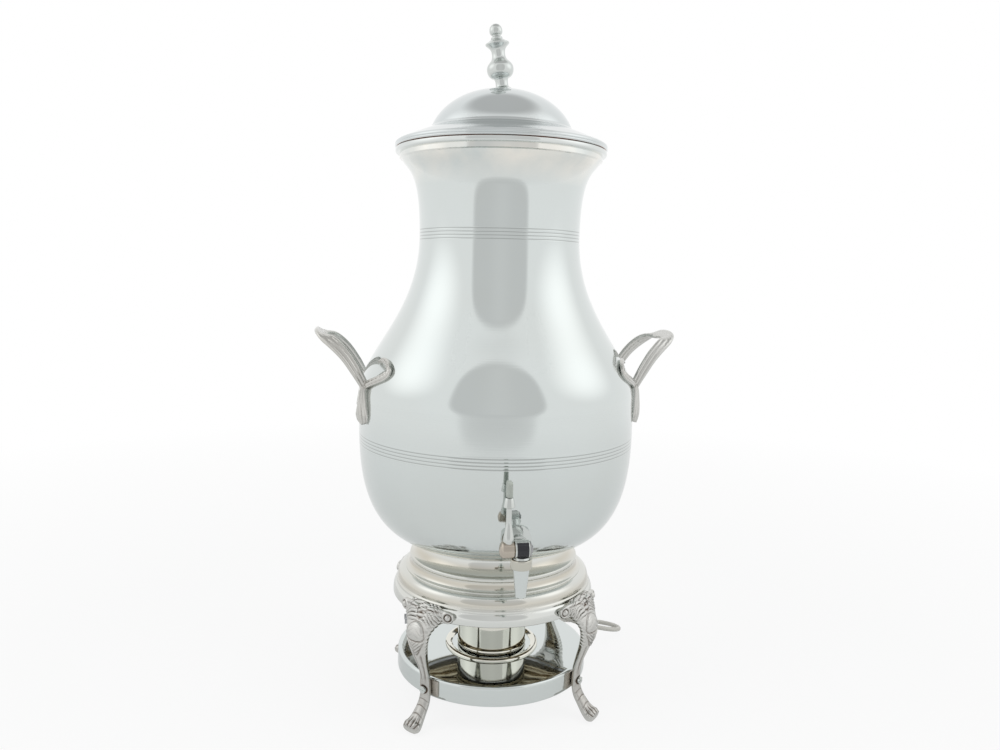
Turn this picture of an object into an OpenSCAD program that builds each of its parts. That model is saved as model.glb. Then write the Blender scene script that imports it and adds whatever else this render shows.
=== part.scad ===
// Electric coffee urn: spun body on a footed stand, front tap with an upright key,
// percolator inside, heater can under the body and a disc tray held between the legs.
// Origin on the table at the middle of the stand, +Z up, tap towards -Y.

/* [Body] */
// Radius where the body stands on the pedestal
foot_r = 76; // [72:0.5:78]
// Height of the underside of the body
foot_z = 159; // [151:1:167]
// Largest radius of the body
belly_r = 133.4; // [130:0.5:138]
// Height of the largest radius
belly_z = 303; // [291:1:313]
// Smallest radius of the neck
neck_r = 76.8; // [75:0.2:80]
// Height of the smallest radius
neck_z = 456; // [446:1:463]
// Outer radius at the mouth
mouth_r = 96; // [94:0.5:99]
// Height of the mouth edge
mouth_z = 531; // [527:1:539]
// Wall of the spun body
body_wall = 1.5; // [1:0.1:2]
// Fine lines turned in each band
band_lines = 4; // [2:1:5]
// Distance between two fine lines
line_pitch = 3; // [2.5:0.5:4]
// Depth of a fine line
line_depth = 0.5; // [0.3:0.1:0.8]
// Height of the lowest line on the neck
neck_band_z = 451.5; // [443:0.5:457]
// Height of the lowest line on the belly
belly_band_z = 258.5; // [251:0.5:271]
// Radial width of the rolled rim round the mouth
rim_w = 4; // [3:0.5:5]
// Height of the rolled rim
rim_h = 5.2; // [4:0.2:7]

/* [Lid] */
// How far the lid stands out past the rim
lid_overhang = 0.5; // [0:0.1:2]
// Radius at the foot of the dome
dome_r = 66.5; // [62:0.5:69]
// Height of the dome above its crease
dome_h = 36; // [31:0.5:41]
// Height of the crease above the lid's edge
crease_h = 20; // [17:0.5:24]
// Sheet thickness of the lid
lid_wall = 1.2; // [1:0.1:1.8]
// Height of the upright edge of the lid
lid_edge_h = 4.5; // [3.5:0.5:6]
// Radial room between the mouth and the lid's locating collar
collar_room = 9; // [8.5:0.5:14]
// Depth of the collar below the lid's edge
collar_drop = 11; // [6:0.5:12]

/* [Finial] */
// Overall height of the finial
finial_h = 60; // [52:1:66]
// Radius of the bulb
bulb_r = 12.7; // [11:0.1:14]
// Radius of the flared cup
cup_r = 10.8; // [9:0.1:12]
// Radius of the top ball
top_ball_r = 6.1; // [5:0.1:7]
// Lean of the finial to the left
finial_lean = 6; // [0:1:7]
// Radius of the threaded stud
stud_r = 2.5; // [2:0.25:3]

/* [Handles] */
// Height of the handle roots
handle_z = 317; // [309:1:323]
// Half distance between the two arms of a handle
handle_half_w = 38; // [34:0.5:42]
// How far a handle stands out beyond the largest radius
handle_reach = 38; // [32:0.5:42]
// Rise of the handle tip above its roots
handle_rise = 45; // [38:0.5:50]
// Radius of an arm
arm_r = 3.8; // [3.2:0.1:4.2]

/* [Tap] */
// Height of the tap's axis
tap_z = 196; // [193:0.5:199]
// Room between the largest radius and the axis of the spout
tap_room = 16.6; // [15:0.1:20]
// Outer radius of the shank
shank_r = 6; // [5.5:0.1:6.5]
// Radius of the water way
way_r = 3; // [2.5:0.1:3.2]
// Radius of the upright tap body
tap_body_r = 7; // [6.8:0.1:8]
// Radius of the cross barrel
barrel_r = 7.7; // [7.4:0.1:8.4]
// Radius of the turning plug
plug_r = 5; // [4.6:0.1:5.2]
// Radial running clearance of the plug
plug_gap = 0.05; // [0.02:0.01:0.09]
// Half length of the cross barrel
barrel_half_l = 6.2; // [6:0.1:6.6]
// Width of the key hub along the plug
hub_w = 9.4; // [9:0.1:10]
// Height of the key above the plug's axis
key_h = 58; // [52:0.5:62]
// Outer radius of the spout ring
ring_r = 9; // [8.5:0.1:10]
// Height of the spout ring
ring_h = 8.4; // [7:0.2:9]
// Length of the nozzle below the ring
nozzle_l = 25; // [20:0.5:30]
// Radius of the nozzle's tip
nozzle_tip_r = 4.6; // [4.2:0.1:5]

/* [Pedestal] */
// Radius of the upper step
step_r = 83.5; // [81:0.5:86]
// Height of the upper step
step_z = 143.5; // [141:0.5:146]
// Largest radius of the pedestal
skirt_r = 100; // [98.5:0.5:102]
// Height of the lower edge of the pedestal
skirt_z = 105; // [103:0.5:108]
// Sheet thickness of the pedestal
skirt_wall = 1.5; // [1.2:0.1:2]

/* [Legs] */
// Angle of a front leg from the middle of the front
front_leg_angle = 46; // [44:1:54]
// Angle of a rear leg from the middle of the front
rear_leg_angle = 132; // [126:1:136]
// Scale of the leg's width
leg_width = 1; // [0.85:0.01:1.1]
// Radius of a leg screw
screw_r = 2; // [1.5:0.1:2.4]

/* [Tray] */
// Radial room between the skirt's edge and the disc tray
tray_room = 5; // [4.8:0.1:6]
// Height of the tray's upper face
tray_z = 46; // [41:0.5:47]
// Depth of the tray's down-turned rim
tray_drop = 19; // [16:0.5:22]
// Sheet thickness of the tray
tray_wall = 1.5; // [1.2:0.1:2]
// Outer radius of the locating ring on the tray
locator_r = 47; // [44:0.5:50]

/* [Heater] */
// Outer radius of the heater can
can_r = 35; // [33:0.5:37]
// Height of the underside of the can
can_z = 50; // [48.5:0.5:52]
// Sheet thickness of the can
can_wall = 1.2; // [1:0.1:1.5]
// Radius of the flange that holds the can
can_flange_r = 46; // [44:0.5:50]
// Outer radius of the percolator well
well_r = 24; // [22:0.5:26]
// Depth of the well below the body
well_depth = 26; // [22:1:30]
// Radius of the sheathed element's tube
element_r = 3; // [2.5:0.1:3.2]

/* [Percolator] */
// Outer radius of the basket
basket_r = 60; // [54:0.5:64]
// Height of the basket
basket_h = 92; // [80:1:96]
// Height of the basket's floor
basket_z = 379; // [375:1:383]
// Sheet thickness of the basket
basket_wall = 1; // [0.8:0.1:1.4]
// Outer radius of the pump tube
tube_r = 4.5; // [4:0.1:5]
// Height of the top of the pump tube
tube_top_z = 497; // [493:1:503]
// Running clearance round the pump tube
tube_gap = 0.4; // [0.3:0.05:0.5]

/* [Lead] */
// Diameter of the mains lead
lead_d = 5; // [4.8:0.1:5.2]
// Height at which the lead leaves the heater can
lead_z = 63; // [61:0.5:65]
// Radius of the coil at the middle of its turns
coil_mid_r = 28; // [26:0.5:29]

/* [Hidden] */
$fn = 96;

silver = [0.80, 0.83, 0.83];
bright = [0.88, 0.90, 0.90];
cast_silver = [0.66, 0.63, 0.60];
steel = [0.62, 0.63, 0.64];
brass = [0.78, 0.66, 0.36];
alu = [0.80, 0.80, 0.80];
dark = [0.20, 0.19, 0.18];
ivory = [0.86, 0.88, 0.84];

eps = 0.01;
tray_r = skirt_r - tray_room;
tap_reach = belly_r + tap_room;
through_l = 2 * skirt_r;       // longer than any hole or cut is deep
seat = 0.3;                    // clearance between pieces that lift or turn apart
curve_steps = 14;

// A cubic curve from a to d with handles b and c, without its first point
function curve(a, b, c, d, n = curve_steps) =
    [for (i = [1:n]) let (t = i / n, s = 1 - t)
        s * s * s * a + 3 * s * s * t * b + 3 * s * t * t * c + t * t * t * d];

// A profile moved d to its left, seen along its points
function shifted(p, d) =
    [for (i = [0:len(p) - 1])
        let (a = p[max(i - 1, 0)], b = p[min(i + 1, len(p) - 1)], v = (b - a) / norm(b - a))
        p[i] + d * [-v[1], v[0]]];

function reversed(p) = [for (i = [len(p) - 1:-1:0]) p[i]];

// Radius of a profile at height z, between its points
function radius_at(p, z) = lookup(z, [for (q = p) [q[1], q[0]]]);

// Body outline, from the foot to the mouth
foot_pull = 1.115 * (belly_r - foot_r);
belly_pull_low = 46;
belly_pull_high = 42;
neck_pull_low = 77;
neck_pull_high = 68;
body_out = concat(
    [[foot_r, foot_z]],
    curve([foot_r, foot_z], [foot_r + foot_pull, foot_z + 15],
          [belly_r, belly_z - belly_pull_low], [belly_r, belly_z], 20),
    curve([belly_r, belly_z], [belly_r, belly_z + belly_pull_high],
          [neck_r, neck_z - neck_pull_low], [neck_r, neck_z]),
    curve([neck_r, neck_z], [neck_r, neck_z + neck_pull_high],
          [mouth_r - 3.5, mouth_z - 16], [mouth_r, mouth_z]));
body_in = shifted(body_out, body_wall);
floor_z = foot_z + body_wall;

rim_z = mouth_z + rim_h;       // top face of the rolled rim, where the lid rests
lid_z = rim_z + 0.05;
lid_r = mouth_r + rim_w + lid_overhang;
collar_r = mouth_r - collar_room;
crease_z = lid_z + crease_h;
dome_z = crease_z + dome_h;

module revolve(points) {
    rotate_extrude() polygon(points);
}

module tube(r_out, r_in, h, z = 0) {
    translate([0, 0, z])
        rotate_extrude() translate([r_in, 0]) square([r_out - r_in, h]);
}

module disc(r, h, z = 0) {
    translate([0, 0, z]) cylinder(r = r, h = h);
}

module around(n, r, start = 0) {
    for (i = [0:n - 1])
        rotate([0, 0, start + i * 360 / n]) translate([r, 0, 0]) children();
}

// The space taken by the body, and the space inside it
module body_space() {
    revolve(concat([[0, foot_z]], body_out, [[0, mouth_z]]));
}

module inner_space() {
    revolve(concat([[0, floor_z]], [for (p = body_in) [p[0], min(max(p[1], floor_z), mouth_z)]],
                   [[0, mouth_z]]));
}

// ---- body ----

module line_cuts(z0) {
    for (i = [0:band_lines - 1]) {
        z = z0 + i * line_pitch;
        translate([0, 0, z])
            rotate_extrude()
                translate([radius_at(body_out, z) + line_depth, 0])
                    circle(r = 2 * line_depth, $fn = 12);
    }
}

well_flange_r = well_r + 8;
well_hole_r = well_r - body_wall + 2 + seat;

module body_shell() {
    color(silver)
        difference() {
            revolve(concat(
                [[well_hole_r, foot_z]], body_out,
                reversed([for (p = body_in) [p[0], min(max(p[1], floor_z), mouth_z)]]),
                [[well_hole_r, floor_z]]));
            line_cuts(neck_band_z);
            line_cuts(belly_band_z);
            at_tap() rotate([90, 0, 0])
                translate([0, 0, -shank_l]) cylinder(r = shank_r + seat, h = shank_l);
            for (a = stud_angles) rotate([0, 0, a]) translate([stud_place_r, 0, foot_z - 1])
                cylinder(r = stud_hole_r, h = body_wall + 2);
        }
}

module mouth_rim() {
    r_in = mouth_r - body_wall;
    color(bright)
        revolve([[r_in, mouth_z], [mouth_r + rim_w - 1, mouth_z], [mouth_r + rim_w, mouth_z + 1.2],
                 [mouth_r + rim_w, rim_z - 1.6], [mouth_r + rim_w - 1.2, rim_z], [r_in, rim_z]]);
}

// Well for the percolator foot, held in the body floor by a nut below
well_z = foot_z - well_depth;

module heater_well() {
    wall = body_wall;
    color(steel)
        revolve([[0, well_z], [well_r, well_z], [well_r, floor_z + eps], [well_flange_r, floor_z + eps],
                 [well_flange_r, floor_z + wall], [well_r - wall, floor_z + wall],
                 [well_r - wall, well_z + wall], [0, well_z + wall]]);
}

module well_nut() {
    color(brass)
        difference() {
            disc(well_flange_r - 1, 4, foot_z - 4 - eps);
            disc(well_r + 0.1, 6, foot_z - 5);
        }
}

// ---- handles ----

module ball_chain(stations) {
    for (i = [0:len(stations) - 2])
        hull() {
            translate(stations[i][0]) scale(stations[i][1]) sphere(r = 1, $fn = 12);
            translate(stations[i + 1][0]) scale(stations[i + 1][1]) sphere(r = 1, $fn = 12);
        }
}

root_r = radius_at(body_out, handle_z);
tip_r = belly_r + handle_reach;
tip_z = handle_z + handle_rise;

// Point on the body, pushed out by d, at an angle from +X and a height above the roots
function on_body(angle, rise, d) =
    let (z = handle_z + rise, r = radius_at(body_out, z) + d) [r * cos(angle), r * sin(angle), z];

root_angle = asin(handle_half_w / root_r);

// One handle reaching out along +X: a loop of two arms, a scroll and a leaf at each root
module handle() {
    w = handle_half_w;
    rise = handle_rise;
    out = tip_r - root_r;
    foot = root_r * cos(root_angle);
    half_loop = [
        [on_body(root_angle, 0, 2), [4.2, 4, 4.6]],
        [[foot + 0.30 * out, w, handle_z + 0.30 * rise], [arm_r, arm_r, arm_r]],
        [[foot + 0.52 * out, w - 2, handle_z + 0.58 * rise], [arm_r, arm_r + 0.4, arm_r]],
        [[foot + 0.76 * out, w - 6, handle_z + 0.80 * rise], [arm_r, arm_r + 0.8, arm_r]],
        [[foot + 0.97 * out, w - 14, handle_z + 0.93 * rise], [arm_r + 0.4, arm_r + 1.2, arm_r]],
        [[tip_r - 1, w - 25, handle_z + 0.99 * rise], [arm_r + 0.8, arm_r + 1.6, arm_r]],
        [[tip_r, 0, handle_z + rise + 1], [arm_r + 1.2, 6, arm_r]]];
    scroll = [
        [on_body(root_angle, 0, 2), [3.4, 3.2, 3.4]],
        [on_body(root_angle + 8, 6, 2.4), [2.6, 2.8, 2.8]],
        [on_body(root_angle + 16, 13, 2.6), [2.6, 2.8, 2.8]],
        [on_body(root_angle + 21, 22, 2.6), [2.6, 2.8, 2.8]],
        [on_body(root_angle + 16, 29, 2.6), [2.6, 2.8, 2.6]],
        [on_body(root_angle + 8, 30, 2.6), [2.6, 2.8, 2.6]],
        [on_body(root_angle + 2, 25, 3.4), [2.4, 2.6, 2.4]]];
    leaf = [
        [on_body(root_angle, 0, 1.5), [3, 4.5, 4]],
        [on_body(root_angle, -14, 1), [2.6, 5, 5]],
        [on_body(root_angle, -28, 1), [2.8, 7, 7]],
        [on_body(root_angle, -36, 0.6), [2, 5, 4]]];
    color(cast_silver)
        difference() {
            for (side = [1, -1])
                for (part = [half_loop, scroll, leaf])
                    ball_chain([for (s = part)
                        [[s[0][0], side * s[0][1], s[0][2]], s[1]]]);
            body_space();
        }
}

module handle_right() {
    handle();
}

module handle_left() {
    rotate([0, 0, 180]) handle();
}

// ---- lid ----

lid_lip = 0.8;
bead_w = 3;
bead_r = lid_r - lid_wall - lid_lip;

lid_out = concat(
    [[stud_r + 0.1, dome_z]],
    curve([0, dome_z], [0.55 * dome_r, dome_z], [0.9 * dome_r, crease_z + 0.5 * dome_h],
          [dome_r, crease_z], 16),
    curve([dome_r, crease_z], [dome_r + 1.5, crease_z - 2], [dome_r + 4, crease_z - 3.2],
          [dome_r + 8, crease_z - 4.6], 5),
    curve([dome_r + 8, crease_z - 4.6], [dome_r + 17, crease_z - 7.8], [lid_r - 10, lid_z + lid_edge_h + 4.2],
          [lid_r - 2.5, lid_z + lid_edge_h + 1.4], 6),
    [[lid_r - lid_lip, lid_z + lid_edge_h + 0.8], [lid_r, lid_z + lid_edge_h],
     [lid_r, lid_z + 1.5 * lid_lip], [lid_r - lid_lip, lid_z]]);
lid_in = shifted(lid_out, -lid_wall);

module lid_shell() {
    n = len(lid_out);
    color(silver)
        revolve(concat(lid_out, [[bead_r, lid_z], [lid_r - lid_wall, lid_z + 1.5 * lid_lip],
                                 [lid_r - lid_wall, lid_z + lid_edge_h - 0.6]],
                       reversed([for (i = [1:n - 5]) lid_in[i]]),
                       [[stud_r + 0.1, dome_z - lid_wall]]));
}

module lid_bead() {
    color(bright)
        tube(bead_r, bead_r - bead_w, lid_edge_h - 1.4, lid_z);
}

module lid_collar() {
    wall = 1.2;
    color(silver)
        union() {
            tube(collar_r, collar_r - wall, collar_drop + 4, lid_z - collar_drop);
            tube(bead_r - bead_w - eps, collar_r - wall, wall, lid_z + 4 - wall);
            tube(collar_r, collar_r - wall, collar_top_z - lid_z - 4 + eps, lid_z + 4 - eps);
        }
}

// Underside of the lid at the collar's radius
collar_top_z = lookup(-collar_r, [for (p = lid_in) [-p[0], p[1]]]) - 0.2;

module leaned() {
    translate([0, 0, dome_z]) rotate([0, -finial_lean, 0]) children();
}

module finial() {
    h = finial_h;
    bulb_z = 0.32 * h;
    cup_z = 0.70 * h;
    ball_z = h - top_ball_r;
    color(cast_silver)
        leaned()
            difference() {
                rotate_extrude()
                    polygon(concat(
                        [[0, -1], [9, -1], [9, 0.8]],
                        curve([9, 0.8], [6.5, 2], [5.4, 3.5], [5.4, 6], 4),
                        curve([5.4, 6], [5.6, 9], [8, 10], [10.4, 12.4], 4),
                        curve([10.4, 12.4], [bulb_r + 1, bulb_z - 3], [bulb_r + 0.6, bulb_z + 3],
                              [10.3, bulb_z + 5.8], 7),
                        curve([10.3, bulb_z + 5.8], [7, bulb_z + 9], [6.4, bulb_z + 11],
                              [6.4, bulb_z + 13.5], 4),
                        curve([6.4, bulb_z + 13.5], [6.6, cup_z - 5], [9, cup_z - 4],
                              [cup_r, cup_z - 1.2], 4),
                        [[cup_r, cup_z + 1], [cup_r - 2, cup_z + 2.2]],
                        curve([cup_r - 2, cup_z + 2.2], [5, cup_z + 3], [4.6, cup_z + 5],
                              [4.5, ball_z - 4.6], 4),
                        curve([4.5, ball_z - 4.6], [top_ball_r + 0.8, ball_z - 2.5],
                              [top_ball_r + 0.8, ball_z + 3], [top_ball_r * 0.75, ball_z + 4.4], 6),
                        curve([top_ball_r * 0.75, ball_z + 4.4], [3.4, h - 0.2], [1.5, h], [0, h], 3)));
                translate([0, 0, -2]) cylinder(r = stud_r, h = 14);
                rotate([0, finial_lean, 0]) disc(2 * cup_r, 5, -5 - 0.75 * lid_wall);
            }
}

module finial_stud() {
    color(steel)
        union() {
            leaned() translate([0, 0, -1.5]) cylinder(r = stud_r - 0.05, h = 13);
            disc(stud_r - 0.05, 14, dome_z - 13);
        }
}

module finial_nut() {
    color(brass)
        difference() {
            union() {
                translate([0, 0, dome_z - lid_wall - 5.6]) cylinder(r = 5, h = 4.4, $fn = 6);
                disc(6, 1.2, dome_z - lid_wall - 1.35);
            }
            disc(stud_r, 20, dome_z - 15);
        }
}

// ---- percolator ----

foot_bell_r = well_r - body_wall - 1;
foot_h = 12;
tube_wall = 0.8;
pump_z = well_z + body_wall;

module pump_tube() {
    color(alu) tube(tube_r, tube_r - tube_wall, tube_top_z - pump_z - foot_h, pump_z + foot_h + eps);
}

module pump_foot() {
    color(alu)
        revolve([[foot_bell_r - 1, pump_z + eps], [foot_bell_r, pump_z + eps], [foot_bell_r, pump_z + 4],
                 [tube_r + 3, pump_z + 15], [tube_r + 1.5, pump_z + 26], [tube_r, pump_z + 26],
                 [tube_r, pump_z + foot_h], [tube_r - 1, pump_z + foot_h], [tube_r - 1, pump_z + 10],
                 [tube_r + 2, pump_z + 10], [foot_bell_r - 1, pump_z + 3.4]]);
}

module pump_valve() {
    color(steel)
        union() {
            disc(foot_bell_r - 3.2, 1, pump_z + 1.2);
            around(3, foot_bell_r - 4, 30) disc(1.2, 1.22, pump_z + eps);
        }
}

rest_h = 5;

module basket_rest() {
    color(alu) tube(tube_r + 5, tube_r, rest_h, basket_z - rest_h - 0.05);
}

basket_hub_r = tube_r + tube_gap;

module basket() {
    color(alu)
        difference() {
            revolve([[basket_hub_r, basket_z], [basket_r - 6, basket_z], [basket_r - 3, basket_z + 4],
                     [basket_r, basket_z + basket_h], [basket_r - basket_wall, basket_z + basket_h],
                     [basket_r - 3 - basket_wall, basket_z + 4 + basket_wall],
                     [basket_r - 6, basket_z + basket_wall],
                     [basket_hub_r + basket_wall + 1, basket_z + basket_wall],
                     [basket_hub_r + basket_wall, basket_z + 16], [basket_hub_r, basket_z + 16]]);
            for (ring = [16, 28, 40])
                around(ring / 2, ring + 3)
                    disc(1.4, 4, basket_z - 1);
        }
}

module basket_lid() {
    z = basket_z + basket_h + 0.05;
    r = basket_r + 2;
    color(alu)
        difference() {
            revolve([[basket_hub_r, z + 3], [basket_hub_r + 2, z + 3], [basket_hub_r + 8, z],
                     [r, z], [r, z + 7], [r - basket_wall, z + 7], [r - basket_wall, z + basket_wall],
                     [basket_hub_r + 8.5, z + basket_wall], [basket_hub_r + 2.5, z + 4],
                     [basket_hub_r, z + 4]]);
            for (ring = [20, 32, 44])
                around(ring / 2, ring)
                    disc(1.2, 4, z - 1);
        }
}

// ---- tap: local origin on the spout's axis at the height of the plug ----

wall_reach = radius_at(body_out, tap_z);
wall_gap = tap_reach - wall_reach;
washer_end = wall_gap + 9;
nut_h = 5;
shank_l = washer_end + nut_h + 2;

module at_tap() {
    translate([0, -tap_reach, tap_z]) children();
}

module cross(r, h, x) {
    translate([x, 0, 0]) rotate([0, 90, 0]) cylinder(r = r, h = h);
}

module inward(r, h, y) {
    translate([0, y, 0]) rotate([-90, 0, 0]) cylinder(r = r, h = h);
}

ring_z = -ring_h - barrel_r;

module tap_barrel() {
    color(cast_silver)
        at_tap()
            difference() {
                union() {
                    translate([0, 0, ring_z]) cylinder(r = tap_body_r, h = ring_h);
                    translate([0, 0, ring_z]) cylinder(r = barrel_half_l, h = 2 - ring_z);
                    cross(barrel_r, 2 * barrel_half_l, -barrel_half_l);
                    inward(shank_r - 0.1, shank_l, 0);
                    inward(shank_r + 2, wall_gap - 6 - hub_r - seat, hub_r + seat);
                }
                cross(plug_r + plug_gap, 2 * barrel_half_l + 2, -barrel_half_l - 1);
                inward(way_r, shank_l + 1, 0);
                translate([0, 0, ring_z - 1]) cylinder(r = port_r, h = 1 - ring_z);
            }
}

rosette_w = 3;

module tap_rosette() {
    color(silver)
        difference() {
            at_tap() inward(13, wall_gap + 3, wall_gap - rosette_w - 3);
            at_tap() inward(shank_r, shank_l, 0);
            body_space();
        }
}

module inner_washer() {
    color(dark)
        intersection() {
            difference() {
                at_tap() inward(12, washer_end - wall_gap + 4, wall_gap - 4);
                at_tap() inward(shank_r, shank_l, 0);
            }
            inner_space();
        }
}

module tap_lock_nut() {
    color(brass)
        at_tap()
            difference() {
                translate([0, washer_end + eps, 0]) rotate([-90, 0, 0]) cylinder(r = 11, h = nut_h, $fn = 6);
                inward(shank_r - 0.1, shank_l + 1, 0);
            }
}

port_r = way_r - 0.5;

// The plug's port turns from the nozzle to the front when shut, and from the shank to the nozzle when open
module tap_plug() {
    color(brass)
        at_tap()
            difference() {
                cross(plug_r, 2 * barrel_half_l + 2 * seat, -barrel_half_l - seat);
                cross(1.5, 6, barrel_half_l + seat - 5);
                translate([0, 0, -plug_r - 1]) cylinder(r = port_r, h = plug_r + 1);
                rotate([90, 0, 0]) cylinder(r = port_r, h = plug_r + 1);
            }
}

hub_r = barrel_r - 0.4;
hub_x = -barrel_half_l - seat - hub_w / 2;
hub_dome = 3.2;

module key_hub() {
    color(cast_silver)
        at_tap()
            union() {
                cross(hub_r, hub_w, hub_x - hub_w / 2);
                translate([hub_x - hub_w / 2, 0, 0])
                    rotate([0, -90, 0])
                        rotate_extrude()
                            polygon(concat([[0, 0], [hub_r, 0]],
                                           curve([hub_r, 0], [hub_r, 2], [4.4, hub_dome],
                                                 [0, hub_dome], 6)));
            }
}

cone_r = hub_w / 2 - 0.1;
cone_h = 16;
stem_top = 36;
collar_h = 8;

module key_stem() {
    color(cast_silver)
        at_tap() translate([hub_x, 0, 0])
            difference() {
                rotate_extrude()
                    polygon(concat([[0, hub_r - 2], [cone_r, hub_r - 2], [cone_r, hub_r + 1]],
                                   curve([cone_r, hub_r + 1], [cone_r - 0.6, hub_r + 5],
                                         [3.2, hub_r + 9], [2.6, hub_r + cone_h], 5),
                                   [[2.6, stem_top], [0, stem_top]]));
                translate([-hub_w, 0, 0]) rotate([0, 90, 0]) cylinder(r = hub_r, h = 2 * hub_w);
            }
}

module key_collar() {
    color(cast_silver)
        at_tap() translate([hub_x, 0, stem_top])
            rotate_extrude() polygon([[0, 0], [4.8, 0], [4.8, 0.8], [3.6, collar_h], [0, collar_h]]);
}

module key_grip() {
    w = 5.6;
    d = 11;
    z0 = stem_top + collar_h;
    color(ivory)
        at_tap() translate([hub_x, 0, 0])
            hull() {
                for (sx = [-1, 1]) for (sy = [-1, 1]) {
                    translate([sx * (w / 2 - 1), sy * (d / 2 - 1.6), z0]) cylinder(r = 1, h = 1, $fn = 16);
                    translate([sx * (w / 2 - 1.5), sy * (d / 2 - 1), key_h - 1.5]) sphere(r = 1.5, $fn = 16);
                }
            }
}

module plug_washer() {
    color(steel)
        at_tap()
            difference() {
                cross(6.6, 1, barrel_half_l + seat);
                cross(1.6, 4, barrel_half_l - 1);
            }
}

module plug_screw() {
    color(steel)
        at_tap()
            union() {
                cross(1.45, 6, barrel_half_l - 4);
                cross(3.2, 1.8, barrel_half_l + seat + 1);
            }
}

module spout_ring() {
    color(cast_silver)
        at_tap()
            difference() {
                translate([0, 0, ring_z])
                    rotate_extrude()
                        polygon([[0, 0], [ring_r - 0.8, 0], [ring_r, 0.9], [ring_r, ring_h - 0.9],
                                 [ring_r - 0.8, ring_h], [0, ring_h]]);
                translate([0, 0, ring_z - 1]) cylinder(r = tap_body_r + 0.05, h = ring_h + 2);
                cross(barrel_r + 0.05, 3 * ring_r, -1.5 * ring_r);
                inward(shank_r + 2.05, 30, 0);
            }
}

module nozzle() {
    color(silver)
        at_tap()
            translate([0, 0, ring_z - nozzle_l])
                rotate_extrude()
                    polygon([[way_r, 0], [nozzle_tip_r - 0.6, 0], [nozzle_tip_r, 0.6],
                             [tap_body_r, nozzle_l - eps], [way_r, nozzle_l - eps]]);
}

// ---- stand ----

skirt_out = concat(
    [[foot_r - 6, foot_z - eps], [foot_r - 3, foot_z - 1]],
    curve([foot_r - 3, foot_z - 1], [foot_r - 2.5, step_z + 8], [step_r - 5, step_z + 2.5],
          [step_r - 1.5, step_z + 1], 8),
    [[step_r, step_z], [step_r, step_z - 2.5]],
    curve([step_r, step_z - 2.5], [step_r - 0.5, step_z - 7], [step_r + 1, step_z - 10.5],
          [step_r + 3.5, step_z - 11], 5),
    [[step_r + 4, step_z - 12.5]],
    curve([step_r + 4, step_z - 12.5], [skirt_r - 6, step_z - 13.5], [skirt_r - 4.4, step_z - 18],
          [skirt_r - 4.4, step_z - 24], 8),
    [[skirt_r - 3, step_z - 25], [skirt_r - 3, step_z - 27.5]],
    curve([skirt_r - 3, step_z - 27.5], [skirt_r - 1, step_z - 29], [skirt_r, step_z - 32],
          [skirt_r, skirt_z + 1], 4),
    [[skirt_r - 0.6, skirt_z]]);

module pedestal() {
    inner = shifted(skirt_out, -skirt_wall);
    n = len(skirt_out);
    color(silver)
        difference() {
            revolve(concat(skirt_out,
                           [[skirt_r - 0.6 - skirt_wall, skirt_z]],
                           reversed([for (i = [1:n - 2]) inner[i]]),
                           [[can_flange_r + 2, foot_z - skirt_wall], [can_flange_r + 2, foot_z - eps]]));
            at_legs() translate([0, 0, leg_top_z]) rotate([0, 90, 0]) cylinder(r = screw_r + 0.2, h = through_l);
        }
}

stand_ring_r = skirt_r - skirt_wall - seat;
stand_ring_w = 6;
stand_ring_h = 6;

module stand_ring() {
    z = leg_top_z - stand_ring_h / 2;
    color(steel)
        difference() {
            revolve([[stand_ring_r - stand_ring_w, z], [stand_ring_r, z],
                     [stand_ring_r - 1.8, z + stand_ring_h],
                     [stand_ring_r - stand_ring_w, z + stand_ring_h]]);
            at_legs() translate([0, 0, leg_top_z]) rotate([0, 90, 0]) cylinder(r = screw_r, h = through_l);
        }
}

leg_angles = [-front_leg_angle, front_leg_angle, -rear_leg_angle, rear_leg_angle];
leg_top_z = skirt_z + 4;
leg_tray_z = tray_z - tray_drop / 2;

module at_leg(i) {
    rotate([0, 0, leg_angles[i] - 90]) children();
}

module at_legs() {
    for (i = [0:3]) at_leg(i) children();
}

// Stations down a leg: distance out, height, thickness, width
leg_stations = [
    [skirt_r - 1.5, skirt_z + 14, 7, 34], [skirt_r + 3, skirt_z + 6, 10, 44],
    [skirt_r + 8, skirt_z - 4, 11, 34], [skirt_r + 11, skirt_z - 12, 10, 26],
    [skirt_r + 9.5, skirt_z - 22, 9, 19], [skirt_r + 6, skirt_z - 33, 8, 13],
    [skirt_r + 2.6, skirt_z - 44, 7.2, 10], [skirt_r + 0.4, skirt_z - 55, 6.6, 9.4],
    [skirt_r, skirt_z - 66, 6.6, 10], [skirt_r + 0.6, skirt_z - 76.5, 6.8, 11],
    [skirt_r + 5, skirt_z - 86, 7.6, 12], [skirt_r + 11.5, 10, 8.6, 14], [skirt_r + 18.5, 5.4, 12, 16]];
scroll_turn = 16;              // angle of a scroll from the middle of its leg, round the pedestal
scroll_rise = 7;
scroll_r = 6.5;

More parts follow.
